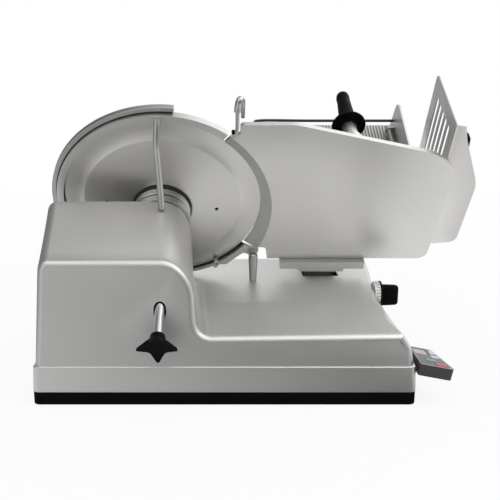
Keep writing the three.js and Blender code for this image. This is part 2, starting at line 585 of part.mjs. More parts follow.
function gaugePlate() {
  const shape = new THREE.Shape();
  const edge = BLADE_RADIUS + BLADE_CLEARANCE;
  const from = THREE.MathUtils.degToRad(-33);
  const to = THREE.MathUtils.degToRad(51);
  shape.absarc(0, 0, edge, from, to, false);
  shape.lineTo(103.4, 127);
  shape.lineTo(116.5, 132.4);
  shape.lineTo(116.5, 145);
  shape.lineTo(119.5, 148.3);
  shape.lineTo(184, 149);
  shape.quadraticCurveTo(193, 149, 202, 147);
  shape.lineTo(381, 103);
  shape.bezierCurveTo(410, 96, 433, 76, 432, 50);
  shape.lineTo(427, -99);
  shape.quadraticCurveTo(426, -116.5, 410, -117);
  shape.lineTo(165.5, -117);
  shape.lineTo(162.5, -96);
  shape.quadraticCurveTo(161.8, -91.5, 157.5, -91.5);
  shape.lineTo(143, -91.5);
  const whole = solid(plate(shape, GAUGE_BACK, GAUGE_FRONT, 12));
  const above = GAUGE_FRONT + 0.5;
  const hollow = [[0, -2], [156.4, -2], [184.4, GAUGE_FRONT], [186.4, above], [0, above]];
  return whole.subtract(solid(turned(hollow, 60, -18.8, -12.2)));
}
piece("gauge_plate", gaugePlate(), PLATE);

const GUIDE_X = 255;
const GUIDE_U = -197;
const GUIDE_RADIUS = 6;

function gaugeBracket() {
  const parts = joined(
    plate(roundedRect(187, -137, 325, -92, 3), -9, GAUGE_BACK - GAP, 1),
    block([187, -139, -6], [325, -117.6, 3]),
    block([218.5, -138.4, -6], [292, -119, 14]),
    block([229, -209, -6], [282, -130, 0]),
    block([229, -209, -6], [282, -168, 14]),
    block([281, -209, 4], [306, -198, 12]),
  );
  return parts.subtract(solid(pin(GUIDE_RADIUS + GAP, -30, 50, GUIDE_X, GUIDE_U, 16)));
}
piece("gauge_bracket", gaugeBracket(), CAST);
piece("gauge_guide_rod", pin(GUIDE_RADIUS, -27, 46, GUIDE_X, GUIDE_U, 16), STEEL);

function gaugeGuide() {
  const earPlan = tapered([GUIDE_X, GUIDE_U - 24], 22, [GUIDE_X, GUIDE_U], 11);
  const ear = (z0, z1) => onSlant(plate(earPlan, z0, z1, 4));
  const middle = GUIDE_X + BLADE_X;
  const foot = block([middle - 24, 262, PLINTH_BOTTOM + PLINTH_FLOOR + GAP], [middle + 24, 346, 66]);
  const slider = onSlant(block([200, -213, -19], [310, -100, 34]));
  const rodHole = onSlant(pin(GUIDE_RADIUS + GAP, -40, 60, GUIDE_X, GUIDE_U, 16));
  const slideBlock = joined(foot, ear(-28, -20), ear(36, 46));
  return slideBlock.subtract(solid(slider)).subtract(solid(rodHole));
}
piece("gauge_guide", gaugeGuide(), CAST, machine);

// Thickness dial: shaft with a small scroll cam, white scale drum, black bar knob
piece("dial_shaft", bar(5, 212, 253, DIAL_Y, DIAL_Z, 14), STEEL, machine);
const cam = new THREE.Shape();
for (let i = 0; i < 20; i++) {
  const a = (2 * Math.PI * i) / 20;
  const reach = 5.9 + (0.9 * i) / 19;
  cam[i ? "lineTo" : "moveTo"](reach * Math.cos(a), reach * Math.sin(a));
}
cam.holes.push(new THREE.Path().absarc(0, 0, 5 + GAP, 0, 2 * Math.PI, true));
piece("gauge_cam", plate(cam, 0, 6, 7).rotateY(Math.PI / 2).translate(213, DIAL_Y, DIAL_Z), STEEL, machine);
const onDial = (geometry) => geometry.rotateY(Math.PI / 2).translate(0, DIAL_Y, DIAL_Z);
piece("dial_scale", onDial(sleeve(5 + GAP, 19, DIAL_SEAT_X + 0.5, 247.5, 0, 0, 28)), WHITE, machine);

function dialKnob() {
  const flange = pin(19.6, 247.8, 250.5, 0, 0, 28);
  const grip = new THREE.ExtrudeGeometry(roundedRect(-14, -7, 20, 7, 5), {
    depth: 23, bevelEnabled: true, bevelThickness: 2.5, bevelSize: 2.5, bevelOffset: -2.5,
    bevelSegments: 1, curveSegments: 2,
  }).translate(0, 0, 252);
  const bore = bar(5 + GAP, 240, 254, DIAL_Y, DIAL_Z, 14);
  return joined(onDial(flange), onDial(grip)).subtract(solid(bore));
}
piece("dial_knob", dialKnob(), BLACK, machine);

// Keypad console on the right end: sloping case, display window and four keys
const panel = new THREE.Group();
panel.position.set(263.8, 1, 59.5);
panel.rotation.y = THREE.MathUtils.degToRad(PANEL_SLOPE);
machine.add(panel);
const PANEL_THICKNESS = 16;
const displayWindow = [4, 44, 22, 64];
const keys = {
  key_up: [26, 48, 35, 62, GREY], key_down: [24, 34, 36, 43, GREY],
  key_start: [13, 18, 27, 27, GREEN], key_stop: [22, 5, 38, 14, RED],
};

function panelHousing() {
  const plan = new THREE.Shape();
  plan.moveTo(0, 0);
  plan.lineTo(41, 0);
  plan.quadraticCurveTo(47, 0, 46, 6);
  plan.lineTo(34, 64);
  plan.quadraticCurveTo(32, 70, 26, 70);
  plan.lineTo(0, 70);
  let box = solid(plate(plan, -PANEL_THICKNESS, 0, 4));
  const pockets = [displayWindow, ...Object.values(keys)];
  for (const [x0, y0, x1, y1] of pockets) {
    box = box.subtract(solid(plate(roundedRect(x0 - GAP, y0 - GAP, x1 + GAP, y1 + GAP, 2), -3.5, 1, 1)));
  }
  return box;
}
piece("panel_housing", panelHousing(), CHARCOAL, panel);
piece("panel_display", plate(roundedRect(...displayWindow, 2), -3.2, -0.3, 1), BEIGE, panel);
for (const [name, [x0, y0, x1, y1, colour]] of Object.entries(keys)) {
  piece(name, plate(roundedRect(x0, y0, x1, y1, 2), -2.2, 0.9, 1), colour, panel);
}

// Carriage: ribbed floor, fence with lugs for the pusher's rod, rear bar, hand guard and handle
function carriageFloor() {
  const ribs = 13;
  const pitch = (FLOOR_RIGHT - FLOOR_LEFT) / ribs;
  const shape = new THREE.Shape();
  shape.moveTo(FLOOR_LEFT, FLOOR_BOTTOM);
  shape.lineTo(FLOOR_RIGHT, FLOOR_BOTTOM);
  for (let i = ribs - 1; i >= 0; i--) {
    const x = FLOOR_LEFT + i * pitch;
    shape.lineTo(x + 0.8 * pitch, FLOOR_TOP - 2.5);
    shape.lineTo(x + 0.72 * pitch, FLOOR_TOP);
    shape.lineTo(x + 0.28 * pitch, FLOOR_TOP);
    shape.lineTo(x + 0.2 * pitch, FLOOR_TOP - 2.5);
  }
  shape.lineTo(FLOOR_LEFT, FLOOR_TOP - 2.5);
  return plate(shape, CARRIAGE_REAR, CARRIAGE_FRONT);
}
piece("carriage_floor", carriageFloor(), PLATE);

const PUSHER_ROD_X = 396.5;
const PUSHER_ROD_U = -46;
const PUSHER_ROD_RADIUS = 4.5;
const REAR_BAR_U = -35;
const REAR_BAR_Z = -265;
const FENCE_X = FLOOR_RIGHT + GAP;

// Upright sheet across x, drawn as (distance behind the blade, height)
const upright = (shape, x0, x1) => plate(shape, x0, x1, 4).rotateY(Math.PI / 2);

function carriageFence() {
  const outline = new THREE.Shape();
  outline.moveTo(12, FLOOR_BOTTOM);
  outline.lineTo(283, FLOOR_BOTTOM);
  outline.lineTo(281, -54);
  outline.lineTo(267, -3);
  outline.quadraticCurveTo(262, 12, 243, 11.5);
  outline.lineTo(40, -5);
  outline.quadraticCurveTo(14, -10, 12, -34);
  const lugPlan = tapered([FENCE_X + 1, PUSHER_ROD_U], 7.5, [PUSHER_ROD_X, PUSHER_ROD_U], 7);
  const lug = (z) => plate(lugPlan, z, z + 7, 5);
  const rodHole = pin(PUSHER_ROD_RADIUS + GAP, -280, -10, PUSHER_ROD_X, PUSHER_ROD_U, 16);
  const rearBarHole = bar(2.9, FENCE_X - 5, FENCE_X + 8, REAR_BAR_U, REAR_BAR_Z, 10);
  const parts = joined(upright(outline, FENCE_X, FENCE_X + 3), lug(-27), lug(-256));
  return parts.subtract(solid(rodHole)).subtract(solid(rearBarHole));
}
piece("carriage_fence", carriageFence(), PLATE);
const rearBarPlan = [
  [FENCE_X + 2.5, REAR_BAR_U], [250, REAR_BAR_U], [158.4, REAR_BAR_U], [152.4, REAR_BAR_U - 2],
  [150.7, REAR_BAR_U - 8], [150.7, FLOOR_TOP + GAP],
];
piece("carriage_rear_bar", bentRod(rearBarPlan.map(([x, u]) => [x, u, REAR_BAR_Z]), 2.5, 14, 6), CHARCOAL);

const GUARD_X = 424;
const GUARD_SHEET = 1.5;

function handGuard() {
  const wing = new THREE.Shape();
  wing.moveTo(15, FLOOR_BOTTOM);
  wing.lineTo(147, FLOOR_BOTTOM);
  wing.lineTo(147, 126);
  wing.quadraticCurveTo(146, 137, 137, 137);
  wing.lineTo(15, 134);
  for (let i = 0; i < 5; i++) {
    const n = 46 + i * 17.6;
    const slot = new THREE.Path();
    slot.absarc(n, 106, 5.2, 0, Math.PI, false);
    slot.absarc(n, -4, 5.2, Math.PI, 2 * Math.PI, false);
    wing.holes.push(slot);
  }
  const shield = new THREE.Shape();
  shield.moveTo(GUARD_X, 134);
  shield.lineTo(438, 132);
  shield.lineTo(445, 108);
  shield.lineTo(474, 38);
  shield.quadraticCurveTo(480, 22, 479, 10);
  shield.lineTo(476, -86);
  shield.quadraticCurveTo(475, -97, 464, -99);
  shield.lineTo(440, -102);
  shield.quadraticCurveTo(GUARD_X, -102, GUARD_X, -90);
  const slots = upright(wing, GUARD_X, GUARD_X + GUARD_SHEET);
  return joined(slots, plate(shield, -15 - GUARD_SHEET, -15, 5));
}
piece("hand_guard", handGuard(), STEEL);

const MOUNT_TOP = FLOOR_BOTTOM - GAP;
const HANDLE_X = 458;
const HANDLE_Z = -64;
piece("handle_mount", block([386, MOUNT_TOP - 10, -98], [474, MOUNT_TOP, -30]), CAST);
const handleFoot = MOUNT_TOP + GAP;
const handleProfile = [
  [0, handleFoot], [11, handleFoot], [12, -40], [13, 0], [13, 55], [11.5, 76], [7, 84], [0, 86],
];
const handle = turned(handleProfile, 14).rotateX(-Math.PI / 2).translate(HANDLE_X, 0, HANDLE_Z);
piece("carriage_handle", handle, BLACK);

// Arm from the slide block up to the floor's underside, and the two rods that it slides on
const ARM_X = 145;
const RAIL_LEFT = -165;
const RAIL_RIGHT = 248;

function withRailBores(body) {
  const bore = (z) => solid(bar(RAIL_RADIUS + GAP, RAIL_LEFT - 20, RAIL_RIGHT + 20, RAIL_Y, z, 16));
  return solid(body).subtract(bore(RAIL_LOW_Z)).subtract(bore(RAIL_HIGH_Z));
}

function carriageArm() {
  const side = new THREE.Shape();
  const top = FLOOR_BOTTOM - GAP;
  const under = (n) => [BLADE_Y - top * SIN + n * COS, BLADE_Z + top * COS + n * SIN];
  const thin = (n) => [under(n)[0] + 8 * SIN, under(n)[1] - 8 * COS];
  side.moveTo(RAIL_Y - 16, 52);
  side.lineTo(RAIL_Y + 16, 52);
  side.lineTo(RAIL_Y + 16, 108);
  side.quadraticCurveTo(RAIL_Y + 14, 220, ...thin(238));
  side.lineTo(...thin(262));
  side.lineTo(...under(262));
  side.lineTo(...under(140));
  side.lineTo(...thin(140));
  side.lineTo(...thin(160));
  side.quadraticCurveTo(RAIL_Y - 14, 230, RAIL_Y - 16, 108);
  const width = 60;
  const arm = new THREE.ExtrudeGeometry(side, { depth: width, bevelEnabled: false, curveSegments: 6 });
  const axes = [[0, 1, 0], [0, 0, 1], [1, 0, 0]].map((axis) => new THREE.Vector3(...axis));
  arm.applyMatrix4(new THREE.Matrix4().makeBasis(...axes)).translate(ARM_X, 0, 0);
  return withRailBores(arm);
}
piece("carriage_arm", carriageArm(), CAST, machine);
piece("guide_rod_lower", bar(RAIL_RADIUS, RAIL_LEFT, RAIL_RIGHT, RAIL_Y, RAIL_LOW_Z, 16), CHROME, machine);
piece("guide_rod_upper", bar(RAIL_RADIUS, RAIL_LEFT, RAIL_RIGHT, RAIL_Y, RAIL_HIGH_Z, 16), CHROME, machine);
for (const [place, x] of Object.entries({ left: RAIL_LEFT, right: RAIL_RIGHT - 16 })) {
  const support = block([x, BASE_DEPTH + GAP, 52], [x + 16, RAIL_Y + 14, 110]);
  piece(`rail_support_${place}`, withRailBores(support), CAST, machine);
}

// Food pusher: spiked plate, sleeve with its arm on the rod, hand disc and grip
const PUSHER_X = 297;
const PUSHER_U = 46;
const SLEEVE_RADIUS = 12;
piece("pusher_rod", pin(PUSHER_ROD_RADIUS, -260, -16, PUSHER_ROD_X, PUSHER_ROD_U, 16), STEEL);

function pusherPlate() {
  const face = plate(roundedRect(PUSHER_X - 48, -49, PUSHER_X + 48, 66, 10), -64, -60, 3);
  const spikeProfile = [[0, -60.5], [3, -60.5], [0, -54]];
  const spikes = [];
  for (const dx of [-30, 0, 30]) {
    for (const u of [-32, -4, 24]) spikes.push(turned(spikeProfile, 4, PUSHER_X + dx, u));
  }
  return joined(face, ...spikes);
}
piece("pusher_plate", pusherPlate(), STEEL);

function pusherSleeve() {
  const tube = pin(SLEEVE_RADIUS, -133, -64 - GAP, PUSHER_X, PUSHER_U, 20);
  const arm = plate(tapered([PUSHER_X, PUSHER_U], 15, [PUSHER_ROD_X, PUSHER_ROD_U], 7.6), -104, -88, 6);
  const bushing = pin(7.8, -112, -80, PUSHER_ROD_X, PUSHER_ROD_U, 18);
  const bore = pin(PUSHER_ROD_RADIUS + GAP, -120, -70, PUSHER_ROD_X, PUSHER_ROD_U, 16);
  return joined(tube, arm, bushing).subtract(solid(bore));
}
piece("pusher_sleeve", pusherSleeve(), PLATE);
const discProfile = [
  [0, -141], [22, -141], [29, -139.5], [30, -137.5], [29, -135], [20, -133 - GAP], [0, -133 - GAP],
];
piece("pusher_disc", turned(discProfile, 24, PUSHER_X, PUSHER_U), BLACK);
const gripProfile = [
  [0, -234], [6, -233], [10, -229], [11.5, -222], [11, -205], [12.5, -175], [14, -150],
  [13.5, -141 - GAP], [0, -141 - GAP],
];
piece("pusher_grip", turned(gripProfile, 16, PUSHER_X, PUSHER_U), BLACK);

// The origin is the middle of the machine's footprint, on the table.
slicer.updateMatrixWorld(true);
const reach = new THREE.Box3().setFromObject(slicer, true);
machine.position.set(-(reach.min.x + reach.max.x) / 2, -(reach.min.y + reach.max.y) / 2, -reach.min.z);

export default slicer;
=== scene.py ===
# Food slicer with a tilted blade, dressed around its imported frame. Pieces are drawn in millimetres,
# either on the base (x along it, y from its front edge, z up) or on the blade's slant (x along the
# base, y up the blade's face, z out of that face), and their meshes are then placed in metres.
import json
import math

import bmesh
import bpy
from mathutils import Matrix, Vector


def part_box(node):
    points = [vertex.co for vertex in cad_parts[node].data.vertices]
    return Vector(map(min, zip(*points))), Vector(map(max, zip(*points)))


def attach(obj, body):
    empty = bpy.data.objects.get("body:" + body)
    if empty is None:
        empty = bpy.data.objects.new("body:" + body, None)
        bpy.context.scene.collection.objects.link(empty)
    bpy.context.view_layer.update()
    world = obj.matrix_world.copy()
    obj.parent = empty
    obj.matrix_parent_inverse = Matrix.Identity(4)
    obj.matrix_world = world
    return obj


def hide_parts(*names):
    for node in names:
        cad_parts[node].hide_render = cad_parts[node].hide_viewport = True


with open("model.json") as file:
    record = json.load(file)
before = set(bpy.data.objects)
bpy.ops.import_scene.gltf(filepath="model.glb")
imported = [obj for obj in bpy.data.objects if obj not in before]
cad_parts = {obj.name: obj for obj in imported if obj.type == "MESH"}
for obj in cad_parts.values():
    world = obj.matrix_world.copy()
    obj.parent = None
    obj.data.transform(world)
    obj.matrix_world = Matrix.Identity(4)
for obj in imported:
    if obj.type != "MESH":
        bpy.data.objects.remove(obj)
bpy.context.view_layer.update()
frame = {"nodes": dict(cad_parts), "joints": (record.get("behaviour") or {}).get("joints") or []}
scene = bpy.context.scene
scene.view_settings.view_transform = "Standard"


# Studio: a camera at the photograph's height and tilt, on a white floor in a white room. What metal
# mirrors is white behind the machine, fades to dark on the right in front, and is bright high in front.
CAMERA_PLACE = (-7.4, -903.6, 425.3)
CAMERA_TILT = 13
CAMERA_LENS = 51.77
CAMERA_SHIFT = 0.062
FLOOR_HALF = 4.0
FLOOR_COLOUR = "#F8F8F7"
FILL_STRENGTH = 0.8
LEFT_SIDE, RIGHT_SIDE = 0.25, 1.5
# A level: an axis, where it starts and ends along it, its first and last strength, and the way between.
ROOM_LEVELS = {
    "in_front": ("Y", 0.25, -0.4, 0, 1, "SMOOTHSTEP"),
    "raised": ("Z", 0.45, 0.85, 0, 1, "SMOOTHSTEP"),
    "leftward": ("X", -0.45, -0.8, 0, 1, "SMOOTHSTEP"),
    "rightward": ("X", 0.15, 0.5, 0, 1, "LINEAR"),
    "off_floor": ("Z", 0.1, 0.35, 0, 1, "LINEAR"),
    "low_front": ("X", -0.3, 0.35, 0.5, 0.02, "LINEAR"),
    "high_front": ("X", -0.3, 0.35, 1.5, 1.9, "LINEAR"),
    "low_back": ("X", -0.42, -0.12, 0.15, 1, "LINEAR"),
    "high_back": ("X", -0.3, 0.35, 0.15, 0.35, "LINEAR"),
}
# The floor glows white for the camera. What metal mirrors of it is painted reflection: dimmer in front and
# darkest towards the right, and dimmer behind on the left.
FLOOR_PAINTED_REFLECTION_LEVELS = {
    "in_front": ("Y", -0.12, -0.21, 0, 1, "SMOOTHSTEP"),
    "front": ("X", -0.45, 0.2, 0.8, 0.1, "LINEAR"),
    "front_right": ("X", 0.21, 0.36, 0, 1, "LINEAR"),
    "behind": ("X", -0.7, -0.3, 0.25, 1, "LINEAR"),
    "distant": ("Y", 0.4, 2.0, 0.88, 1, "LINEAR"),
}
# A lamp: its place, what it points at, its width and its power.
SOFT_BOXES = {
    "top_box": ((0.0, 0.2, 1.8), (0.0, 0.0, 0.15), 1.4, 2.0),
    "left_box": ((-1.3, -1.5, 0.6), (-0.2, -0.1, 0.15), 0.8, 1.6),
    "right_box": ((1.1, -0.55, 1.3), (0.1, 0.0, 0.2), 1.0, 4.5),
}


def linear(colour):
    """An sRGB hex colour as linear RGBA."""
    channels = [int(colour[i : i + 2], 16) / 255 for i in (1, 3, 5)]
    return [c / 12.92 if c <= 0.04045 else ((c + 0.055) / 1.055) ** 2.4 for c in channels] + [1.0]


def node(tree, kind, settings):
    """Adds a node. A setting is a property, a socket's value, or an output or a node to link."""
    made = tree.nodes.new(kind)
    for key, value in settings.items():
        if isinstance(value, bpy.types.Node):
            value = value.outputs[0]
        if isinstance(value, bpy.types.NodeSocket):
            tree.links.new(value, made.inputs[key])
        elif isinstance(key, int) or key in made.inputs:
            made.inputs[key].default_value = value
        else:
            setattr(made, key, value)
    return made


def levels_along(tree, place, table):
    """A table's levels as nodes, each going from first to last as a place moves along an axis."""
    parts = node(tree, "ShaderNodeSeparateXYZ", {0: place}).outputs
    return {
        name: node(tree, "ShaderNodeMapRange", {
            "interpolation_type": interpolation, "Value": parts[axis],
            "From Min": start, "From Max": end, "To Min": first, "To Max": last})
        for name, (axis, start, end, first, last, interpolation) in table.items()
    }


low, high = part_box("base_housing")
base = Matrix.Translation(((low.x + high.x) / 2, low.y, 0)) @ Matrix.Scale(0.001, 4)
camera_data = bpy.data.cameras.new("studio_camera")
camera_data.lens = CAMERA_LENS
camera_data.shift_x = CAMERA_SHIFT
camera = bpy.data.objects.new("studio_camera", camera_data)
camera.location = base @ Vector(CAMERA_PLACE)
camera.rotation_euler = (math.radians(90 - CAMERA_TILT), 0, 0)
scene.collection.objects.link(camera)
scene.camera = camera

world = bpy.data.worlds.new("white_studio")
scene.world = world
world.use_nodes = True
tree = world.node_tree
tree.nodes.clear()
rays = node(tree, "ShaderNodeLightPath", {}).outputs
looking = node(tree, "ShaderNodeTexCoord", {}).outputs["Generated"]
room = levels_along(tree, looking, ROOM_LEVELS)
front = node(tree, "ShaderNodeMix", {0: room["raised"], 2: room["low_front"], 3: room["high_front"]})
back = node(tree, "ShaderNodeMix", {0: room["raised"], 2: room["low_back"], 3: room["high_back"]})
right = node(tree, "ShaderNodeMath", {"operation": "MULTIPLY", 0: room["rightward"], 1: room["off_floor"]})
lit_back = node(tree, "ShaderNodeMix", {0: right, 2: back, 3: RIGHT_SIDE})
walls = node(tree, "ShaderNodeMix", {0: room["in_front"], 2: lit_back, 3: front})
surround = node(tree, "ShaderNodeMix", {0: room["leftward"], 2: walls, 3: LEFT_SIDE})
seen_bright = node(tree, "ShaderNodeMath", {
    "operation": "MAXIMUM", 0: rays["Is Camera Ray"], 1: rays["Is Transmission Ray"]})
mirrored = node(tree, "ShaderNodeMix", {0: rays["Is Glossy Ray"], 2: FILL_STRENGTH, 3: surround})
level = node(tree, "ShaderNodeMix", {0: seen_bright, 2: mirrored, 3: 1.0})
background = node(tree, "ShaderNodeBackground", {"Color": (1, 1, 1, 1), "Strength": level})
node(tree, "ShaderNodeOutputWorld", {"Surface": background})

floor_mesh = bpy.data.meshes.new("studio_floor")
floor_corners = [(x * FLOOR_HALF, y * FLOOR_HALF, 0) for x, y in ((-1, -1), (1, -1), (1, 1), (-1, 1))]
floor_mesh.from_pydata(floor_corners, [], [(0, 1, 2, 3)])
studio_floor = bpy.data.objects.new("studio_floor", floor_mesh)
scene.collection.objects.link(studio_floor)
floor_paint = bpy.data.materials.new("pale_floor_paint")
floor_paint.use_nodes = True
tree = floor_paint.node_tree
tree.nodes.clear()
rays = node(tree, "ShaderNodeLightPath", {}).outputs
spot = node(tree, "ShaderNodeNewGeometry", {}).outputs["Position"]
# Painted reflection: glossy rays see the floor's glow dimmed by place.
ground = levels_along(tree, spot, FLOOR_PAINTED_REFLECTION_LEVELS)
front = node(tree, "ShaderNodeMath", {"operation": "MAXIMUM", 0: ground["front"], 1: ground["front_right"]})
mirrored = node(tree, "ShaderNodeMix", {0: ground["in_front"], 2: ground["behind"], 3: front})
level = node(tree, "ShaderNodeMix", {0: rays["Is Glossy Ray"], 2: 1.0, 3: mirrored})
seen = node(tree, "ShaderNodeMath", {
    "operation": "MAXIMUM", 0: rays["Is Camera Ray"], 1: rays["Is Glossy Ray"]})
kept_white = node(tree, "ShaderNodeMath", {"operation": "MULTIPLY", 0: seen, 1: ground["distant"]})
matt = node(tree, "ShaderNodeBsdfDiffuse", {"Color": linear(FLOOR_COLOUR)})
glow = node(tree, "ShaderNodeEmission", {"Color": (1, 1, 1, 1), "Strength": level})
mixed = node(tree, "ShaderNodeMixShader", {0: kept_white, 1: matt, 2: glow})
node(tree, "ShaderNodeOutputMaterial", {"Surface": mixed})
floor_mesh.materials.append(floor_paint)

for name, (place, target, width, power) in SOFT_BOXES.items():
    lamp_data = bpy.data.lights.new(name, "AREA")
    lamp_data.size = width
    lamp_data.energy = power
    lamp = bpy.data.objects.new(name, lamp_data)
    lamp.location = place
    lamp.rotation_euler = (Vector(target) - Vector(place)).to_track_quat("-Z", "Y").to_euler()
    scene.collection.objects.link(lamp)


# Base casting: one hollow aluminium casting with the motor hump, the slice deck and a skirt that
# leaves a thin ledge all round. It is blasted and anodised to a satin grey, with soft cast edges.
GAP = 0.3
BASE_LENGTH, BASE_DEPTH = 520, 370
PLINTH_TOP, SKIRT_TOP = 18.5, 55
SKIRT_TOP_INSET = 2.4
SHELL_INSET = SKIRT_TOP_INSET + 1.4
SHELL_HALF = BASE_LENGTH / 2 - SHELL_INSET
SHELL_FOOT = SKIRT_TOP - 11
CASTING_WALL = 5
DECK_FRONT_Z, DECK_CREASE_Z, DECK_REAR_Z = 94, 107.5, 116
DECK_FRONT_Y, DECK_CREASE_Y, RIDGE_Y = 8, 125, 363
DECK_ENDS = [(-20, 243), (8, 242), (55, 231), (95, 231), (124, 226), (210, 236), (331, 250), (400, 254)]
DECK_SIDE_RISE = 0.012
HUMP_WALL_X, HUMP_FILLET, HUMP_SHOULDER, HUMP_CORNER = -39, 21, 46, 14
HUMP_TOP_U, HUMP_BACK = 42, 42
TILT = math.radians(32.5)
FRONT_LEAN = 18.5 / 135
LEFT_LEAN = 5.5 / 135
LEAN_FROM, LEAN_TO = 20, 130
HUMP_WALL_DRAW, DRAW_LENGTH = 9 / 130, 130
FRONT_ROUND = 9
TIE_ROD_X, TIE_ROD_U, TIE_ROD_RADIUS = 7.5, -4, 6.5
DIAL_Y, DIAL_Z, DIAL_SEAT_X = 200, 100, 238
POST_X, POST_Y = 48, 232
GLAND_X, GLAND_Z = -190, 40

spin = next(joint for joint in frame["joints"] if joint["name"] == "blade_spin")
out_of_face = -Vector(spin["axis"])
along_base = Vector((1, 0, 0))
slant_axes = Matrix((along_base, out_of_face.cross(along_base), out_of_face)).transposed().to_4x4()
slant = Matrix.Translation(spin["pos_m"]) @ slant_axes @ Matrix.Scale(0.001, 4)
slant_on_base = base.inverted() @ slant
hump_top = slant_on_base @ Vector((0, HUMP_TOP_U, HUMP_BACK))


def through(pairs, at):
    """A smooth curve through (place, value) pairs."""
    last = len(pairs) - 1
    k = max(1, min(last - 1, next(i for i, (place, _) in enumerate(pairs) if place >= at) - 1))
    (x0, y0), (x1, y1), (x2, y2), (x3, y3) = (pairs[min(i, last)] for i in range(k - 1, k + 3))
    if at <= x1 or x2 == x1:
        return y0 + (y1 - y0) * (at - x0) / (x1 - x0)
    t = (at - x1) / (x2 - x1)
    m1 = (y2 - y0) / (x2 - x0) * (x2 - x1)
    m2 = (y3 - y1) / (x3 - x1) * (x2 - x1)
    return ((2 * t**3 - 3 * t**2 + 1) * y1 + (t**3 - 2 * t**2 + t) * m1
            + (3 * t**2 - 2 * t**3) * y2 + (t**3 - t**2) * m2)


def soft_min(a, b, blend):
    return -blend * math.log(math.exp(-a / blend) + math.exp(-b / blend))


def deck_height(y):
    ramp_slope = (DECK_CREASE_Z - DECK_FRONT_Z) / (DECK_CREASE_Y - DECK_FRONT_Y)
    flat_slope = (DECK_REAR_Z - DECK_CREASE_Z) / (RIDGE_Y - DECK_CREASE_Y)
    ramp = DECK_FRONT_Z + (y - DECK_FRONT_Y) * ramp_slope
    flat = DECK_CREASE_Z + (y - DECK_CREASE_Y) * flat_slope
    return soft_min(ramp, flat, 0.2)


def deck_at(x, y):
    return deck_height(y) + DECK_SIDE_RISE * (x - HUMP_WALL_X - HUMP_FILLET)


def hump_rise(y):
    front = hump_top.z - (hump_top.y - y) * math.tan(TILT)
    back = hump_top.z - (y - hump_top.y) / math.tan(TILT)
    return -soft_min(deck_height(y) - soft_min(front, back, 1.5), 0, 2.0)


def arc(centre, radii, start, end, steps):
    """Points along an ellipse, between two angles in degrees."""
    angles = [math.radians(start + (end - start) * i / steps) for i in range(steps + 1)]
    return [Vector((centre[0] + radii[0] * math.cos(a), centre[1] + radii[1] * math.sin(a))) for a in angles]


def bend(start, corner, end, steps):
    """Points along a curve from start to end that leans towards the corner."""
    start, corner, end = Vector(start), Vector(corner), Vector(end)
    shares = [i / steps for i in range(steps + 1)]
    return [(1 - t) ** 2 * start + 2 * t * (1 - t) * corner + t * t * end for t in shares]


def casting_section(y):
    """The casting's outline across the base: up the left wall, over the hump, down to the right edge."""
    deck, rise = deck_height(y), hump_rise(y)
    top = deck + rise
    shoulder, fillet = min(54, 0.62 * rise), min(20, 0.35 * rise)
    end = through(DECK_ENDS, y)
    edge = deck_at(end, y)
    leaning = min(1, max(0, (LEAN_TO - y) / (LEAN_TO - LEAN_FROM)))
    left = -SHELL_HALF + LEFT_LEAN * (top - SKIRT_TOP) * leaning
    wall = HUMP_WALL_X - HUMP_WALL_DRAW * min(DRAW_LENGTH, max(0, y - LEAN_FROM))
    return [
        Vector((-SHELL_HALF, SHELL_FOOT)), Vector((-SHELL_HALF, SKIRT_TOP)),
        *arc((left + HUMP_CORNER, top - HUMP_CORNER), (HUMP_CORNER, HUMP_CORNER), 180, 90, 8),
        *arc((wall - HUMP_SHOULDER - 1, top - shoulder), (HUMP_SHOULDER, shoulder), 90, 0, 16),
        *arc((wall + HUMP_FILLET, deck + fillet), (HUMP_FILLET, fillet), 180, 270, 10),
        *(Vector((x, deck_at(x, y))) for x in (20, 60, 105, 150, 190)),
        *bend((end - 3, deck_at(end - 3, y)), (end + 1.6, edge), (end + 3.6, edge - 5), 6),
        *bend((251.4, min(80.4, edge - 12.6)), (252.8, min(79, edge - 14)), (253.3, min(76, edge - 17)), 4),
        Vector((255, min(66, edge - 26))), Vector((SHELL_HALF, SKIRT_TOP)),
        Vector((SHELL_HALF, SHELL_FOOT)),
    ]


def drawn_in(points, inset):
    """A closed section moved inwards, point by point."""
    moved_points = []
    for i, point in enumerate(points):
        others = points[i + 1 :] + points[:i]
        after = next(p for p in others if (p - point).length > 1e-3)
        before = next(p for p in reversed(others) if (p - point).length > 1e-3)
        a, b = (point - before).normalized(), (after - point).normalized()
        inward = Vector((a.y + b.y, -a.x - b.x)).normalized()
        moved_points.append(point + inward * inset / max(0.5, inward.dot(Vector((b.y, -b.x)))))
    return moved_points


def skinned(rings):
    """A closed skin over rings of equal counts, with a flat cap on the first and the last."""
    shape = bmesh.new()
    rows = [[shape.verts.new(point) for point in ring] for ring in rings]
    count = len(rows[0])
    for first, second in zip(rows, rows[1:]):
        for i in range(count):
            j = (i + 1) % count
            shape.faces.new((first[i], first[j], second[j], second[i]))
    shape.faces.new(reversed(rows[0]))
    shape.faces.new(rows[-1])
    bmesh.ops.remove_doubles(shape, verts=shape.verts, dist=1e-3)
    bmesh.ops.dissolve_degenerate(shape, edges=shape.edges, dist=1e-3)
    bmesh.ops.recalc_face_normals(shape, faces=shape.faces)
    return shape


def front_at(z):
    return SHELL_INSET + (z - SKIRT_TOP) * FRONT_LEAN


def front_outline():
    """The casting's outline where its front face starts to round over, at each point's own depth."""
    points = casting_section(LEAN_FROM)
    for _ in range(3):
        points = [casting_section(front_at(p.y) + FRONT_ROUND)[i] for i, p in enumerate(points)]
    return points


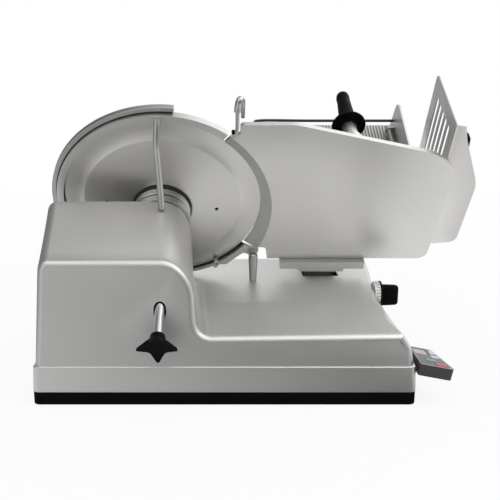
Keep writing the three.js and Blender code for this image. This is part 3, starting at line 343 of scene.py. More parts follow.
def casting_rings():
    rings = []
    section = front_outline()
    for i in range(7):
        turn = math.radians(90 * i / 6)
        inset, back = FRONT_ROUND * (1 - math.sin(turn)), FRONT_ROUND * (1 - math.cos(turn))
        rings.append([Vector((p.x, front_at(p.y) + back, p.y)) for p in drawn_in(section, inset)])
    stations = [44 + 6 * i for i in range(13)] + [122 + 2.5 * i for i in range(9)]
    stations += [146 + 4 * i for i in range(14)] + [205, 215, 230, 250, 275, 300, 325, 345]
    rings += [[Vector((p.x, y, p.y)) for p in casting_section(y)] for y in stations]
    rear = casting_section(RIDGE_Y - 2)
    rear_end = BASE_DEPTH - SHELL_INSET
    for inset, y in ((0, RIDGE_Y - 2), (0.5, RIDGE_Y), (1.7, rear_end - 1.5), (4, rear_end)):
        rings.append([Vector((p.x, y, p.y)) for p in drawn_in(rear, inset)])
    return rings


def cavity_rings():
    """The inside of the casting, from the sloped front wall through stations (place, section) to the rear."""
    stations = [(None, LEAN_FROM), (60, 60), (hump_top.y - 7, hump_top.y), (182, 188), (222, 230),
                (RIDGE_Y - 1, RIDGE_Y)]
    low_x, low_z = SHELL_HALF - CASTING_WALL, SHELL_FOOT - 1
    rings = []
    for y, section_y in stations:
        outline = drawn_in(casting_section(section_y), CASTING_WALL)
        outline = [Vector((math.copysign(low_x, p.x), low_z)) if p.y < SKIRT_TOP + 4 else p for p in outline]
        rings.append([Vector((p.x, front_at(p.y) + CASTING_WALL if y is None else y, p.y)) for p in outline])
    return rings


def rim_ring(inset, radius, z):
    """A rounded rectangle over the base's plan, drawn in from its edge."""
    x, y = BASE_LENGTH / 2 - inset - radius, BASE_DEPTH / 2 - inset - radius
    corners = ((x, -y, -90), (x, y, 0), (-x, y, 90), (-x, -y, 180))
    points = [p for cx, cy, start in corners for p in arc((cx, cy), (radius, radius), start, start + 90, 8)]
    return [Vector((p.x, p.y + BASE_DEPTH / 2, z)) for p in points]


def rim_block(*levels):
    """A block over the base's plan through levels (inset, corner radius, height)."""
    return skinned([rim_ring(*level) for level in levels])


def filleted(corners, steps=5, closed=True):
    """An outline through corners (x, y) or (x, y, radius), each rounded by an arc of its radius."""
    outline = []
    for i, (x, y, *radius) in enumerate(corners):
        here = Vector((x, y))
        if not radius or not closed and i in (0, len(corners) - 1):
            outline.append(here)
            continue
        before = Vector(corners[i - 1][:2]) - here
        after = Vector(corners[(i + 1) % len(corners)][:2]) - here
        half = before.angle(after) / 2
        reach = min(radius[0] / math.tan(half), 0.499 * before.length, 0.499 * after.length)
        start, end = here + before.normalized() * reach, here + after.normalized() * reach
        centre = here + (before.normalized() + after.normalized()).normalized() * reach / math.cos(half)
        sweep = (start - centre).angle_signed(end - centre)
        spoke = start - centre
        outline += [centre + Matrix.Rotation(-sweep * k / steps, 2) @ spoke for k in range(steps + 1)]
    return outline


def turned(profile, centre=(0, 0), steps=96):
    """A solid of revolution about the local z axis from (radius, z) or (radius, z, rounding) corners."""
    on_axis = profile[0][0] == 0
    outline = filleted(profile, closed=not on_axis)
    shape = bmesh.new()
    rows = []
    for i in range(steps):
        cos, sin = math.cos(2 * math.pi * i / steps), math.sin(2 * math.pi * i / steps)
        rows.append([shape.verts.new((centre[0] + p.x * cos, centre[1] + p.x * sin, p.y)) for p in outline])
    count = len(outline)
    for first, second in zip(rows, rows[1:] + rows[:1]):
        for i in range(count - 1 if on_axis else count):
            j = (i + 1) % count
            shape.faces.new((first[i], second[i], second[j], first[j]))
    bmesh.ops.remove_doubles(shape, verts=shape.verts, dist=1e-4)
    bmesh.ops.recalc_face_normals(shape, faces=shape.faces)
    return shape


def cylinder(radius, z0, z1, centre=(0, 0), steps=96):
    return turned([(0, z0), (radius, z0), (radius, z1), (0, z1)], centre, steps)


def prism(outline, z0, z1):
    """A straight prism over an outline."""
    return skinned([[Vector((p.x, p.y, z)) for p in outline] for z in (z0, z1)])


def slab(low, high):
    """A box between two corners."""
    (x0, y0, z0), (x1, y1, z1) = low, high
    return prism([Vector(p) for p in ((x0, y0), (x1, y0), (x1, y1), (x0, y1))], z0, z1)


def moved(shape, place):
    shape.transform(place)
    return shape


def draft(name, shape):
    """An object from a shape in millimetres, still to be placed."""
    mesh = bpy.data.meshes.new(name)
    shape.to_mesh(mesh)
    shape.free()
    piece = bpy.data.objects.new(name, mesh)
    scene.collection.objects.link(piece)
    return piece


def made_plain(piece):
    """Applies the modifiers of a piece."""
    result = bpy.data.meshes.new_from_object(piece.evaluated_get(bpy.context.evaluated_depsgraph_get()))
    piece.modifiers.clear()
    piece.data = result
    result.name = piece.name


def combined(piece, operation, shapes):
    for shape in shapes:
        other = draft("other_shape", shape)
        boolean = piece.modifiers.new("combined", "BOOLEAN")
        boolean.operation = operation
        boolean.solver = "MANIFOLD"
        boolean.object = other
        made_plain(piece)
        bpy.data.objects.remove(other)


def join(piece, *shapes):
    """Joins shapes to a piece."""
    combined(piece, "UNION", shapes)


def cut(piece, *shapes):
    """Cuts shapes out of a piece."""
    combined(piece, "DIFFERENCE", shapes)


def placed(piece, place, material, body, nodes, soften=0.0, smooth=32):
    """Moves a draft to its place, rounds its edges, and hands it to the frame."""
    piece.data.transform(place)
    if soften:
        bevel = piece.modifiers.new("softened", "BEVEL")
        bevel.width, bevel.segments, bevel.limit_method = soften / 1000, 3, "ANGLE"
        bevel.angle_limit = math.radians(smooth)
        made_plain(piece)
    piece.data.polygons.foreach_set("use_smooth", [True] * len(piece.data.polygons))
    piece.data.set_sharp_from_angle(angle=math.radians(smooth))
    piece.modifiers.new("even_shading", "WEIGHTED_NORMAL").keep_sharp = True
    made_plain(piece)
    if not any(piece.data.materials):
        piece.data.materials.clear()
        piece.data.materials.append(material)
    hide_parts(*nodes)
    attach(piece, body)


# Noise mostly stays within this span.
NOISE_SPAN = {"From Min": 0.3, "From Max": 0.7}
PALE_EDGE_AND_TOP_HIGHLIGHT = "#F0F0EE"


def tinted(colour, factor, lift=0.0):
    """A hex colour made darker or paler, as linear RGBA."""
    return [min(1, c * factor + lift) for c in linear(colour)[:3]] + [1]


def unfinished(name):
    """A new material with an empty node tree."""
    material = bpy.data.materials.new(name)
    material.use_nodes = True
    material.node_tree.nodes.clear()
    return material, material.node_tree


# Satin anodised aluminium: the blasted or brushed grain blurs reflections; worn edges are paler, and
# upward-facing tops are painted paler as a painted highlight.
def anodised(name, colour, roughness, grain_mm, grain_stretch=(1, 1, 1), top_highlight=0.0):
    """Aluminium blasted or brushed and then anodised; the stretch turns the grain into brush lines."""
    metal, tree = unfinished(name)
    place = node(tree, "ShaderNodeTexCoord", {}).outputs["Object"]
    stretched = node(tree, "ShaderNodeMapping", {"Vector": place, "Scale": grain_stretch})
    grain = node(tree, "ShaderNodeTexNoise", {"Vector": stretched, "Scale": 1000 / grain_mm, "Detail": 2.0})
    cloud = node(tree, "ShaderNodeTexNoise", {"Vector": place, "Scale": 9.0, "Detail": 3.0})
    mottled = node(tree, "ShaderNodeMapRange", {
        "Value": grain, **NOISE_SPAN, "To Min": -0.05, "To Max": 0.05})
    uneven = node(tree, "ShaderNodeMapRange", {
        "Value": cloud, **NOISE_SPAN, "To Min": roughness - 0.04, "To Max": roughness + 0.04})
    rough = node(tree, "ShaderNodeMath", {"operation": "ADD", 0: uneven, 1: mottled})
    geometry = node(tree, "ShaderNodeNewGeometry", {}).outputs
    upward = node(tree, "ShaderNodeSeparateXYZ", {0: geometry["Normal"]}).outputs["Z"]
    # Upward-facing tops are painted paler, a painted highlight; convex edges are paler with wear.
    lit_tops = node(tree, "ShaderNodeMapRange", {
        "Value": upward, "From Min": 0.9, "From Max": 0.98, "To Min": 0.0, "To Max": top_highlight})
    scuffed = node(tree, "ShaderNodeMath", {"operation": "MULTIPLY_ADD", 0: lit_tops, 1: 0.06, 2: rough})
    pointed = node(tree, "ShaderNodeMapRange", {
        "Value": geometry["Pointiness"], "From Min": 0.51, "From Max": 0.58, "To Min": 0.0, "To Max": 0.5})
    edges = node(tree, "ShaderNodeMath", {"operation": "MAXIMUM", 0: pointed, 1: lit_tops})
    shade = node(tree, "ShaderNodeMix", {
        "data_type": "RGBA", 0: cloud, 6: tinted(colour, 0.94), 7: linear(colour)})
    edge_wear_and_top_highlight = node(tree, "ShaderNodeMix", {
        "data_type": "RGBA", 0: edges, 6: shade.outputs[2], 7: linear(PALE_EDGE_AND_TOP_HIGHLIGHT)})
    bump = node(tree, "ShaderNodeBump", {"Strength": 0.25, "Distance": 0.00004, "Height": grain})
    shader = node(tree, "ShaderNodeBsdfPrincipled", {
        "Metallic": 1.0, "Roughness": scuffed, "Base Color": edge_wear_and_top_highlight.outputs[2], "Normal": bump})
    node(tree, "ShaderNodeOutputMaterial", {"Surface": shader})
    return metal


# The blasted grain is about 0.3 mm; it is drawn at 0.9 mm so that it shows.
BRUSHED_ALONG = (0.15, 1, 1)
# The casting's upward-facing tops get a strong painted highlight.
cast_aluminium = anodised("blasted_anodised_aluminium", "#D2D1CF", 0.45, 0.9, BRUSHED_ALONG, top_highlight=0.7)

housing = draft("base_casting", skinned(casting_rings()))
join(housing, rim_block((0.6, 8, PLINTH_TOP + 0.3), (0, 8, PLINTH_TOP + 1), (1.3, 8, SKIRT_TOP - 1.6),
                        (1.6, 7.7, SKIRT_TOP - 0.6), (SKIRT_TOP_INSET, 7, SKIRT_TOP)))
dial_axis = Matrix.Translation((0, DIAL_Y, DIAL_Z)) @ Matrix.Rotation(math.pi / 2, 4, "Y")
cavity = draft("cavity", skinned(cavity_rings()))
cut(cavity, moved(cylinder(27, 222, 262), dial_axis))
cavity_shape = bmesh.new()
cavity_shape.from_mesh(cavity.data)
bpy.data.objects.remove(cavity)
cut(housing, cavity_shape, rim_block((6, 5, PLINTH_TOP - 5), (9.5, 5, SKIRT_TOP - 5)))

rod_slot_corners = ((-8.5, 8.5), (-8.5, -11.5), (8.5, -11.5), (8.5, 8.5))
rod_slot = [(TIE_ROD_X + x, TIE_ROD_U + u, 8.4) for x, u in rod_slot_corners]
gauge_slot = [(226, -200, 3), (285, -200, 3), (285, -105, 3), (226, -105, 3)]
to_rear = Matrix.Rotation(-math.pi / 2, 4, "X")
cut(
    housing,
    moved(cylinder(37.9, 12, 72), slant_on_base),
    moved(prism(filleted(rod_slot, 12), 180, 240), slant_on_base),
    moved(prism(filleted(gauge_slot), -9, 18), slant_on_base),
    moved(cylinder(21.5, DIAL_SEAT_X, 300), dial_axis),
    moved(cylinder(5.6, 200, 260, steps=32), dial_axis),
    cylinder(5.3, 100, 130, (POST_X, POST_Y), 32),
    moved(cylinder(9.3, 0, 30, steps=48), Matrix.Translation((GLAND_X, BASE_DEPTH - 20, GLAND_Z)) @ to_rear),
)
placed(housing, base, cast_aluminium, "base", ["base_housing"], smooth=38)


# Plinth: a black plastic tray that closes the casting from below, with a rounded lower edge and
# standoffs for the circuit board. Four rubber feet push into its floor. Both are plain matt mouldings.
PLINTH_LIP, PLINTH_BOTTOM, PLINTH_FLOOR = 0.5, 3.5, 3
STANDOFFS = [(120, 62), (210, 62), (120, 122), (210, 122)]
FOOT_PLACES = {
    "front_left": (-215, 40), "front_right": (215, 40), "rear_left": (-215, 330), "rear_right": (215, 330)}


def moulded(name, colour, roughness, grain_mm, depth_mm, gloss=0.5):
    """Plastic or rubber with a moulded grain, a little glossier where it is handled, paler at its edges."""
    plastic, tree = unfinished(name)
    place = node(tree, "ShaderNodeTexCoord", {}).outputs["Object"]
    grain = node(tree, "ShaderNodeTexNoise", {"Vector": place, "Scale": 1000 / grain_mm, "Detail": 2.0})
    handled = node(tree, "ShaderNodeTexNoise", {"Vector": place, "Scale": 25.0, "Detail": 2.0})
    rough = node(tree, "ShaderNodeMapRange", {
        "Value": handled, **NOISE_SPAN, "To Min": roughness - 0.06, "To Max": roughness + 0.06})
    pointiness = node(tree, "ShaderNodeNewGeometry", {}).outputs["Pointiness"]
    edges = node(tree, "ShaderNodeMapRange", {
        "Value": pointiness, "From Min": 0.51, "From Max": 0.6, "To Min": 0.0, "To Max": 0.35})
    shade = node(tree, "ShaderNodeMix", {
        "data_type": "RGBA", 0: handled, 6: linear(colour), 7: tinted(colour, 1.12, 0.002)})
    edged = node(tree, "ShaderNodeMix", {
        "data_type": "RGBA", 0: edges, 6: shade.outputs[2], 7: tinted(colour, 1.3, 0.01)})
    bump = node(tree, "ShaderNodeBump", {"Strength": 0.4, "Distance": depth_mm / 1000, "Height": grain})
    shader = node(tree, "ShaderNodeBsdfPrincipled", {
        "IOR": 1.5, "Specular IOR Level": gloss, "Roughness": rough, "Base Color": edged.outputs[2],
        "Normal": bump})
    node(tree, "ShaderNodeOutputMaterial", {"Surface": shader})
    return plastic


# The moulded grain is about 0.4 mm, drawn at 1 mm; rubber is rougher and duller.
tray_plastic = moulded("matt_black_tray_plastic", "#050505", 0.6, 1.0, 0.05, gloss=0.02)
black_plastic = moulded("satin_black_plastic", "#060607", 0.48, 1.0, 0.04, gloss=0.06)
foot_rubber = moulded("foot_rubber", "#161616", 0.8, 1.4, 0.08, gloss=0.2)

plinth = draft("plinth_tray", rim_block(
    (2.0, 8, PLINTH_LIP), (1.1, 8, PLINTH_LIP + 0.4), (0.5, 8, PLINTH_LIP + 1.2), (0.4, 8, PLINTH_LIP + 2.2),
    (0.4, 8, PLINTH_TOP)))
cut(plinth, rim_block((7, 5, PLINTH_LIP - 2), (8, 5, PLINTH_BOTTOM)),
    rim_block((5, 5, PLINTH_BOTTOM + PLINTH_FLOOR), (5, 5, 30)))
join(plinth, *(cylinder(5, 4.5, 23.7, place, 24) for place in STANDOFFS))
cut(plinth, *(cylinder(6, 0, 12, place, 32) for place in FOOT_PLACES.values()))
placed(plinth, base, tray_plastic, "base", ["base_plinth"])

foot_profile = [(0, 0), (17, 0, 1.2), (19, 3.2, 0.6), (5.6, 3.2), (5.6, 6.8), (8.5, 6.8, 0.8), (6, 11, 1.5),
                (0, 11)]
for place, centre in FOOT_PLACES.items():
    foot = draft("rubber_foot_" + place, turned(foot_profile, centre, 48))
    placed(foot, base, foot_rubber, "base", ["foot_" + place])


# Cord gland: a black plastic bush pushed through the casting's rear wall, where the cord would come
# out. It is a plain satin moulding with a collar outside the wall.
gland_profile = [(4.5, -9), (8.9, -9, 0.6), (8.9, 6), (13, 6.4, 1), (12, 11, 1.5), (4.5, 11, 0.8)]
gland_place = Matrix.Translation((GLAND_X, BASE_DEPTH - 4, GLAND_Z)) @ to_rear
gland = draft("cord_bush", moved(turned(gland_profile, steps=48), gland_place))
placed(gland, base, black_plastic, "base", ["cord_gland"])


# Drive inside the hump: circuit board, motor, pulleys, belt, hollow spindle and its two bearings.
# These stay as in the frame and only get their finishes: lacquered board, steel, iron and rubber.
def drawn_steel(name, colour, roughness, streak_mm):
    """Bright steel with fine smudges and faint drawing marks."""
    steel, tree = unfinished(name)
    place = node(tree, "ShaderNodeTexCoord", {}).outputs["Object"]
    smudge = node(tree, "ShaderNodeTexNoise", {"Vector": place, "Scale": 40.0, "Detail": 4.0})
    marks = node(tree, "ShaderNodeTexNoise", {"Vector": place, "Scale": 1000 / streak_mm, "Detail": 1.0})
    rough = node(tree, "ShaderNodeMapRange", {
        "Value": smudge, **NOISE_SPAN, "To Min": roughness * 0.92, "To Max": roughness * 1.1})
    shade = node(tree, "ShaderNodeMix", {
        "data_type": "RGBA", 0: smudge, 6: tinted(colour, 0.9), 7: linear(colour)})
    bump = node(tree, "ShaderNodeBump", {"Strength": 0.05, "Distance": 0.00001, "Height": marks})
    shader = node(tree, "ShaderNodeBsdfPrincipled", {
        "Metallic": 1.0, "Roughness": rough, "Base Color": shade.outputs[2], "Normal": bump})
    node(tree, "ShaderNodeOutputMaterial", {"Surface": shader})
    return steel


# Machined steel blurs what it mirrors and chrome keeps it sharp; iron and copper look dull.
machine_steel = drawn_steel("machined_steel", "#BEBEBC", 0.24, 0.8)
bright_chrome = drawn_steel("bright_chrome", "#DADADA", 0.1, 2.0)
motor_iron = drawn_steel("painted_motor_iron", "#4A4A4C", 0.45, 1.2)
rotor_copper = drawn_steel("rotor_copper", "#A2704C", 0.4, 1.5)
board_lacquer = moulded("green_board_lacquer", "#2C5638", 0.35, 2.5, 0.03)
belt_rubber = moulded("belt_rubber", "#202020", 0.75, 1.0, 0.06)

inner_finishes = [
    (board_lacquer, ["control_board"]), (motor_iron, ["motor_stator"]), (rotor_copper, ["motor_rotor"]),
    (belt_rubber, ["drive_belt"]), (cast_aluminium, ["gauge_guide"]),
    (machine_steel, [
        "motor_pulley", "blade_pulley", "spindle_bearing_front", "spindle_bearing_rear", "spindle",
        "gauge_guide_rod", "dial_shaft", "gauge_cam", "blade_bolt_1", "blade_bolt_2", "blade_bolt_3"]),
]
for finish, names in inner_finishes:
    for name in names:
        slots = frame["nodes"][name].data.materials
        slots.clear()
        slots.append(finish)


# Bearing housing: the turned aluminium collar behind the hub, pressed into the back of the hump. It
# holds the spindle's two bearings, and its turned face has a soft sheen.
HUB_RADIUS, HUB_LENGTH = 43.5, 27
SPINDLE_BORE = 20 + GAP
bearing_profile = [(34.3, 31), (21.5, 31), (21.5, 29.5, 0.4), (42.5, 29.5, 0.5), (43.5, 30.5, 0.5),
                   (43.5, 41.7, 0.4), (37.5, 41.7), (37.5, 65), (34.3, 65)]
bearing_housing = draft("bearing_collar", turned(bearing_profile, steps=128))
turned_aluminium = anodised("turned_aluminium", "#CDCDCB", 0.34, 0.7)
placed(bearing_housing, slant, turned_aluminium, "base", ["bearing_housing"], soften=0.2)


# Blade: a 300 mm hollow-ground steel disc with a wide ground bevel and two small sight holes, bolted
# to an aluminium hub. A black disc sunk in each sight hole is painted shade. Fine concentric grinding
# marks pull its highlights into fans from the middle.
BLADE_RADIUS, BEVEL_RADIUS, BLADE_THICKNESS = 150, 119, 3.5
BLADE_DISH, SEAT_RADIUS = 11, 47
EDGE_DROP, BEVEL_CURVE = 3.2, 3.2
BEVEL_STEPS = (150, 146, 142, 138.5, 135, 132, 129, 126.5, 124, 121.5, BEVEL_RADIUS)
BOLT_CIRCLE = 31
SIGHT_HOLES = {"sight_plug_left": (-83, 7), "sight_plug_right": (83, -7)}
bolt_angles = [math.radians(angle) for angle in (90, 210, 330)]
bolt_places = [(BOLT_CIRCLE * math.cos(a), BOLT_CIRCLE * math.sin(a)) for a in bolt_angles]


def bevel_height(radius):
    share = (BLADE_RADIUS - radius) / (BLADE_RADIUS - BEVEL_RADIUS)
    return EDGE_DROP * (share**BEVEL_CURVE - 1)


seat_back = BLADE_DISH - BLADE_THICKNESS
blade_profile = [
    (SPINDLE_BORE, seat_back), (SEAT_RADIUS - 1, seat_back), (BEVEL_RADIUS - 1, -BLADE_THICKNESS),
    (BLADE_RADIUS - 1, -BLADE_THICKNESS), *((r, bevel_height(r)) for r in BEVEL_STEPS),
    (SEAT_RADIUS, BLADE_DISH, 2), (SPINDLE_BORE, BLADE_DISH)]
blade = draft("round_blade", turned(blade_profile, steps=224))
countersink = [(0, 7), (6.4, 7), (3.4, 10.1), (3.4, 12), (0, 12)]
cut(blade, *(turned(countersink, centre, 32) for centre in bolt_places))
cut(blade, *(cylinder(3, -5, 12, centre, 32) for centre in SIGHT_HOLES.values()))


def polar_map(piece):
    """UV of a turned piece: the angle about its axis and the radius in metres."""
    layer = piece.data.uv_layers.new(name="turning")
    for face in piece.data.polygons:
        middle = math.atan2(face.center.y, face.center.x)
        for loop in face.loop_indices:
            spot = piece.data.vertices[piece.data.loops[loop].vertex_index].co
            angle = math.atan2(spot.y, spot.x)
            angle += 2 * math.pi * round((middle - angle) / (2 * math.pi))
            layer.data[loop].uv = (angle / (2 * math.pi), math.hypot(spot.x, spot.y) / 1000)


def ground_in_rings(name, colour, roughness, ring_mm):
    """Steel ground on a turntable: concentric marks, with the reflections drawn out along the radius."""
    steel, tree = unfinished(name)
    around = node(tree, "ShaderNodeUVMap", {"uv_map": "turning"})
    rings = node(tree, "ShaderNodeMapping", {"Vector": around, "Scale": (6, 1000 / ring_mm, 1)})
    marks = node(tree, "ShaderNodeTexNoise", {"Vector": rings, "Scale": 1.0, "Detail": 2.0})
    rough = node(tree, "ShaderNodeMapRange", {
        "Value": marks, **NOISE_SPAN, "To Min": roughness - 0.05, "To Max": roughness + 0.05})
    shade = node(tree, "ShaderNodeMix", {
        "data_type": "RGBA", 0: marks, 6: tinted(colour, 0.92), 7: linear(colour)})
    bump = node(tree, "ShaderNodeBump", {"Strength": 0.12, "Distance": 0.00002, "Height": marks})
    along = node(tree, "ShaderNodeTangent", {"direction_type": "UV_MAP", "uv_map": "turning"})
    shader = node(tree, "ShaderNodeBsdfPrincipled", {
        "Metallic": 1.0, "Anisotropic": 0.65, "Roughness": rough, "Base Color": shade.outputs[2],
        "Normal": bump, "Tangent": along})
    node(tree, "ShaderNodeOutputMaterial", {"Surface": shader})
    return steel


# Grinding marks are finer than a tenth of a millimetre; they are drawn at 0.8 mm.
blade_steel = ground_in_rings("ground_blade_steel", "#DEDDDB", 0.36, 0.8)
polar_map(blade)
placed(blade, slant, blade_steel, "blade", ["blade"], smooth=3)
# The discs in the sight holes are painted shade, drawn in the black belt rubber.
for name, centre in SIGHT_HOLES.items():
    hole_shade_disc = draft(name, turned([(0, 2.2), (2.9, 2.2), (2.9, 4.2, 0.3), (0, 4.2)], centre, 32))
    placed(hole_shade_disc, slant, belt_rubber, "blade", [])

hub_foot = BLADE_DISH + GAP
hub_profile = [
    (SPINDLE_BORE, hub_foot), (41, hub_foot), (41, hub_foot + 4.6), (HUB_RADIUS, hub_foot + 4.8, 0.4),
    (HUB_RADIUS, HUB_LENGTH - 1, 0.4), (HUB_RADIUS - 1, HUB_LENGTH, 0.4), (SPINDLE_BORE, HUB_LENGTH)]
hub = draft("blade_hub_turned", turned(hub_profile, steps=128))
cut(hub, *(cylinder(3.4, 10, 24, centre, 24) for centre in bolt_places))
placed(hub, slant, turned_aluminium, "blade", ["blade_hub"], soften=0.15)
# A black ring round the hub's foot stands in for the shaded gap between blade and hub: painted shadow.
hub_gap_shade_profile = [(41.2, hub_foot), (45.2, hub_foot, 0.6), (45.2, hub_foot + 3.6, 0.8), (41.2, hub_foot + 4.2)]
hub_seal = draft("hub_seal", turned(hub_gap_shade_profile, steps=96))
placed(hub_seal, slant, belt_rubber, "blade", [])


# Blade cover: a pressed aluminium disc over the food side of the blade, drawn home by the tie rod.
# The rod is chromed and runs through the hollow spindle and the hump to a black star knob in front.
KNOB_START, KNOB_MIDDLE, KNOB_RADIUS = 252, 266.5, 26
tie_rod_axis = (TIE_ROD_X, TIE_ROD_U)
cover_profile = [(0, -8.2), (30, -8.2, 2), (40, -6.4, 3), (133, -6.4, 0.5), (132, -4.6), (0, -4.6)]
cover = draft("blade_cover_disc", turned(cover_profile, steps=160))
cut(cover, cylinder(TIE_ROD_RADIUS + GAP, -9, 0, tie_rod_axis, 48))
spun_aluminium = anodised("spun_aluminium", "#CFCFCC", 0.3, 0.8)
placed(cover, slant, spun_aluminium, "base", ["blade_cover"], soften=0.2)

rod_end = KNOB_START + 14
rod_profile = [(0, -9.2), (TIE_ROD_RADIUS, -9.2, 0.4), (TIE_ROD_RADIUS, rod_end, 0.8), (0, rod_end)]
tie_rod = draft("chromed_tie_rod", turned(rod_profile, tie_rod_axis, 64))
placed(tie_rod, slant, bright_chrome, "tie_rod", ["tie_rod"])

arm_corners = [(26.5, -1.8, 1.2), (26.5, 1.8, 1.2), (10.2, 10.2, 12)]
star = []
for quarter in range(4):
    turn = Matrix.Rotation(math.pi / 2 * quarter, 2)
    for x, y, radius in arm_corners:
        spot = turn @ Vector((x, y))
        star.append((spot.x, spot.y, radius))
star_outline = filleted(star, 6)


def star_ring(share, side):
    """One ring over the star, on its rear or front side: arms thin out and sweep forward to their tips."""
    ring = []
    for p in (corner * share for corner in star_outline):
        outward = min(1, max(0, (p.length - 7) / 19))
        half = (1.3 + 4.6 * (1 - outward**0.7)) * (1 if share < 1 else 0.6)
        ring.append(Vector((p.x, p.y, KNOB_MIDDLE + 8 * (p.length / KNOB_RADIUS) ** 2 + side * half)))
    return ring


STAR_SHARES = (0.3, 0.45, 0.6, 0.75, 0.9, 0.98)
star_rings = [star_ring(share, -1) for share in STAR_SHARES]
star_rings += [star_ring(share, 1) for share in (1, *reversed(STAR_SHARES))]
knob = draft("star_knob_moulding", skinned(star_rings))
collar = [(0, 0), (9.6, 0, 1.5), (10.6, 6, 4), (12, 12, 3), (9.5, 20, 2), (0, 20)]
join(knob, turned([(r, z + KNOB_START, *rounding) for r, z, *rounding in collar], steps=64))
cut(knob, cylinder(TIE_ROD_RADIUS + GAP, KNOB_START - 1, KNOB_START + 14.4, steps=48))
knob.data.transform(Matrix.Translation((TIE_ROD_X, TIE_ROD_U, 0)))
placed(knob, slant, black_plastic, "tie_rod", ["star_knob"], soften=0.5)


# Guard ring: an aluminium casting round the back of the blade, with a flat lip in front, a lower arm
# to the post and a waved tab where the polished strut from the hump holds it.
RING_CENTRE = (2, 1)
RING_INNER, RING_OUTER = 151.5, 162


def ring_sector(centre, inner, outer, start, end):
    """The outline of a part of a flat ring, a point for each degree; inner may be a function of the angle."""
    angles = [math.radians(start + i) for i in range(end - start + 1)]
    radius = inner if callable(inner) else lambda angle: inner
    spots = [(outer, a) for a in angles] + [(radius(math.degrees(a)), a) for a in reversed(angles)]
    return [Vector((centre[0] + r * math.cos(a), centre[1] + r * math.sin(a))) for r, a in spots]


def lip_inside(angle):
    """The lip's inner edge, with the tab under the strut eased in and out."""
    away = abs(angle - 91) / 14
    return RING_INNER - (4 * (1 - away * away) ** 2 if away < 1 else 0)


ring_cast = anodised("satin_ring_casting", "#AEADAB", 0.42, 0.9)
ring_lug = filleted([(79, -121), (84, -121, 2), (89, -128, 2), (82, -140, 1.5), (77, -138, 1)])
ring_arm = filleted([
    (84.8, -126.5), (88, -131.5, 2), (98.5, -131, 3), (107.6, -122), (115, -114), (127, -103, 6),
    (136, -108.5, 4), (147, -108.5, 3), (151, -99, 3), (150, -93.4, 1.5), (142.5, -93.4, 2),
    (128, -85.4, 1), (123.4, -90.5), (113.2, -102.7), (99.7, -115.4)])
ring = draft("guard_ring_casting", prism(ring_sector(RING_CENTRE, lip_inside, RING_OUTER, 53, 240), 0.6, 3.2))
join(ring, prism(ring_sector(RING_CENTRE, RING_OUTER - 4, RING_OUTER, 53, 240), -8, 1),
     prism(ring_sector(RING_CENTRE, RING_INNER, RING_OUTER - 5, 236, 305), 0.6, 3.2), prism(ring_lug, 0.6, 5))
cut(ring, cylinder(1.7, 0, 6, (82.6, -130), 24))
ring_boss = turned([(0, 0.6), (5, 0.6), (5, 9, 0.6), (0, 9)], (POST_X + 94, -103), 40)
join(ring, prism(ring_arm, 0.6, 5), ring_boss)
placed(ring, slant, ring_cast, "base", ["guard_ring"], soften=0.5)
# Two black strips are painted shadow: one at the back of the ring's channel behind the blade's edge, and one
# in the gap between the band and the ring.
ring_seal = draft("ring_seal", prism(ring_sector(RING_CENTRE, 146, RING_OUTER - 4.2, 53, 323), -7.5, -5.5))
placed(ring_seal, slant, belt_rubber, "base", [])
band_gap_shade_sector = ring_sector((3, 0.5), RING_OUTER + 0.6, RING_OUTER + 6, 83, 183)
band_seal = draft("band_seal", prism(band_gap_shade_sector, -8, -4.5))
placed(band_seal, slant, belt_rubber, "base", [])
band_sector = ring_sector((4, 0), RING_OUTER + 3.5, RING_OUTER + 10, 83, 184)
band = draft("guard_band_strip", prism(band_sector, -12, -3))
placed(band, slant, ring_cast, "base", ["guard_band"], soften=0.8)


def bent_rod(points, radius):
    """A round bar bent smoothly through points, with closed ends."""
    curve = bpy.data.curves.new("bent_rod", "CURVE")
    curve.dimensions = "3D"
    curve.bevel_depth, curve.bevel_resolution, curve.use_fill_caps = radius, 8, True
    curve.resolution_u = 10
    line = curve.splines.new("BEZIER")
    line.bezier_points.add(len(points) - 1)
    for knot, place in zip(line.bezier_points, points):
        knot.co = place
        knot.handle_left_type = knot.handle_right_type = "AUTO"
    rod = bpy.data.objects.new("bent_rod", curve)
    scene.collection.objects.link(rod)
    shape = bmesh.new()
    shape.from_mesh(bpy.data.meshes.new_from_object(rod.evaluated_get(bpy.context.evaluated_depsgraph_get())))
    bpy.data.objects.remove(rod)
    bmesh.ops.remove_doubles(shape, verts=shape.verts, dist=1e-3)
    bmesh.ops.recalc_face_normals(shape, faces=shape.faces)
    return shape


# Polished steel rods show one soft line of light along their length.
polished_steel = drawn_steel("polished_steel", "#C4C3C1", 0.34, 6)
strut_path = [(4.5, 44, 61), (2.5, 85, 45.5), (0.5, 122, 32), (0, 130, 28), (0.8, 152, 11.5), (1.4, 160.5, 6)]
strut = draft("polished_strut", bent_rod(strut_path, 4.6))
strut_foot = turned([(0, 0), (5.4, 0, 0.3), (5.2, 1.2, 0.4), (0, 1.2)], steps=48)
join(strut, moved(strut_foot, Matrix.Translation((4.5, HUMP_TOP_U + 0.6, 61)) @ to_rear))
placed(strut, slant, polished_steel, "base", ["guard_strut"])

POST_TOP = 157
post_foot = deck_at(POST_X, POST_Y) + 0.8
post_profile = [(0, 104), (4.8, 104), (4.8, post_foot), (5.6, post_foot, 0.4), (7.4, POST_TOP - 9, 6),
                (7.4, POST_TOP - 2, 0.8), (6, POST_TOP, 0.8), (0, POST_TOP)]
post = draft("guard_post_turned", turned(post_profile, (POST_X, POST_Y), 48))
placed(post, base, polished_steel, "base", ["guard_post"])

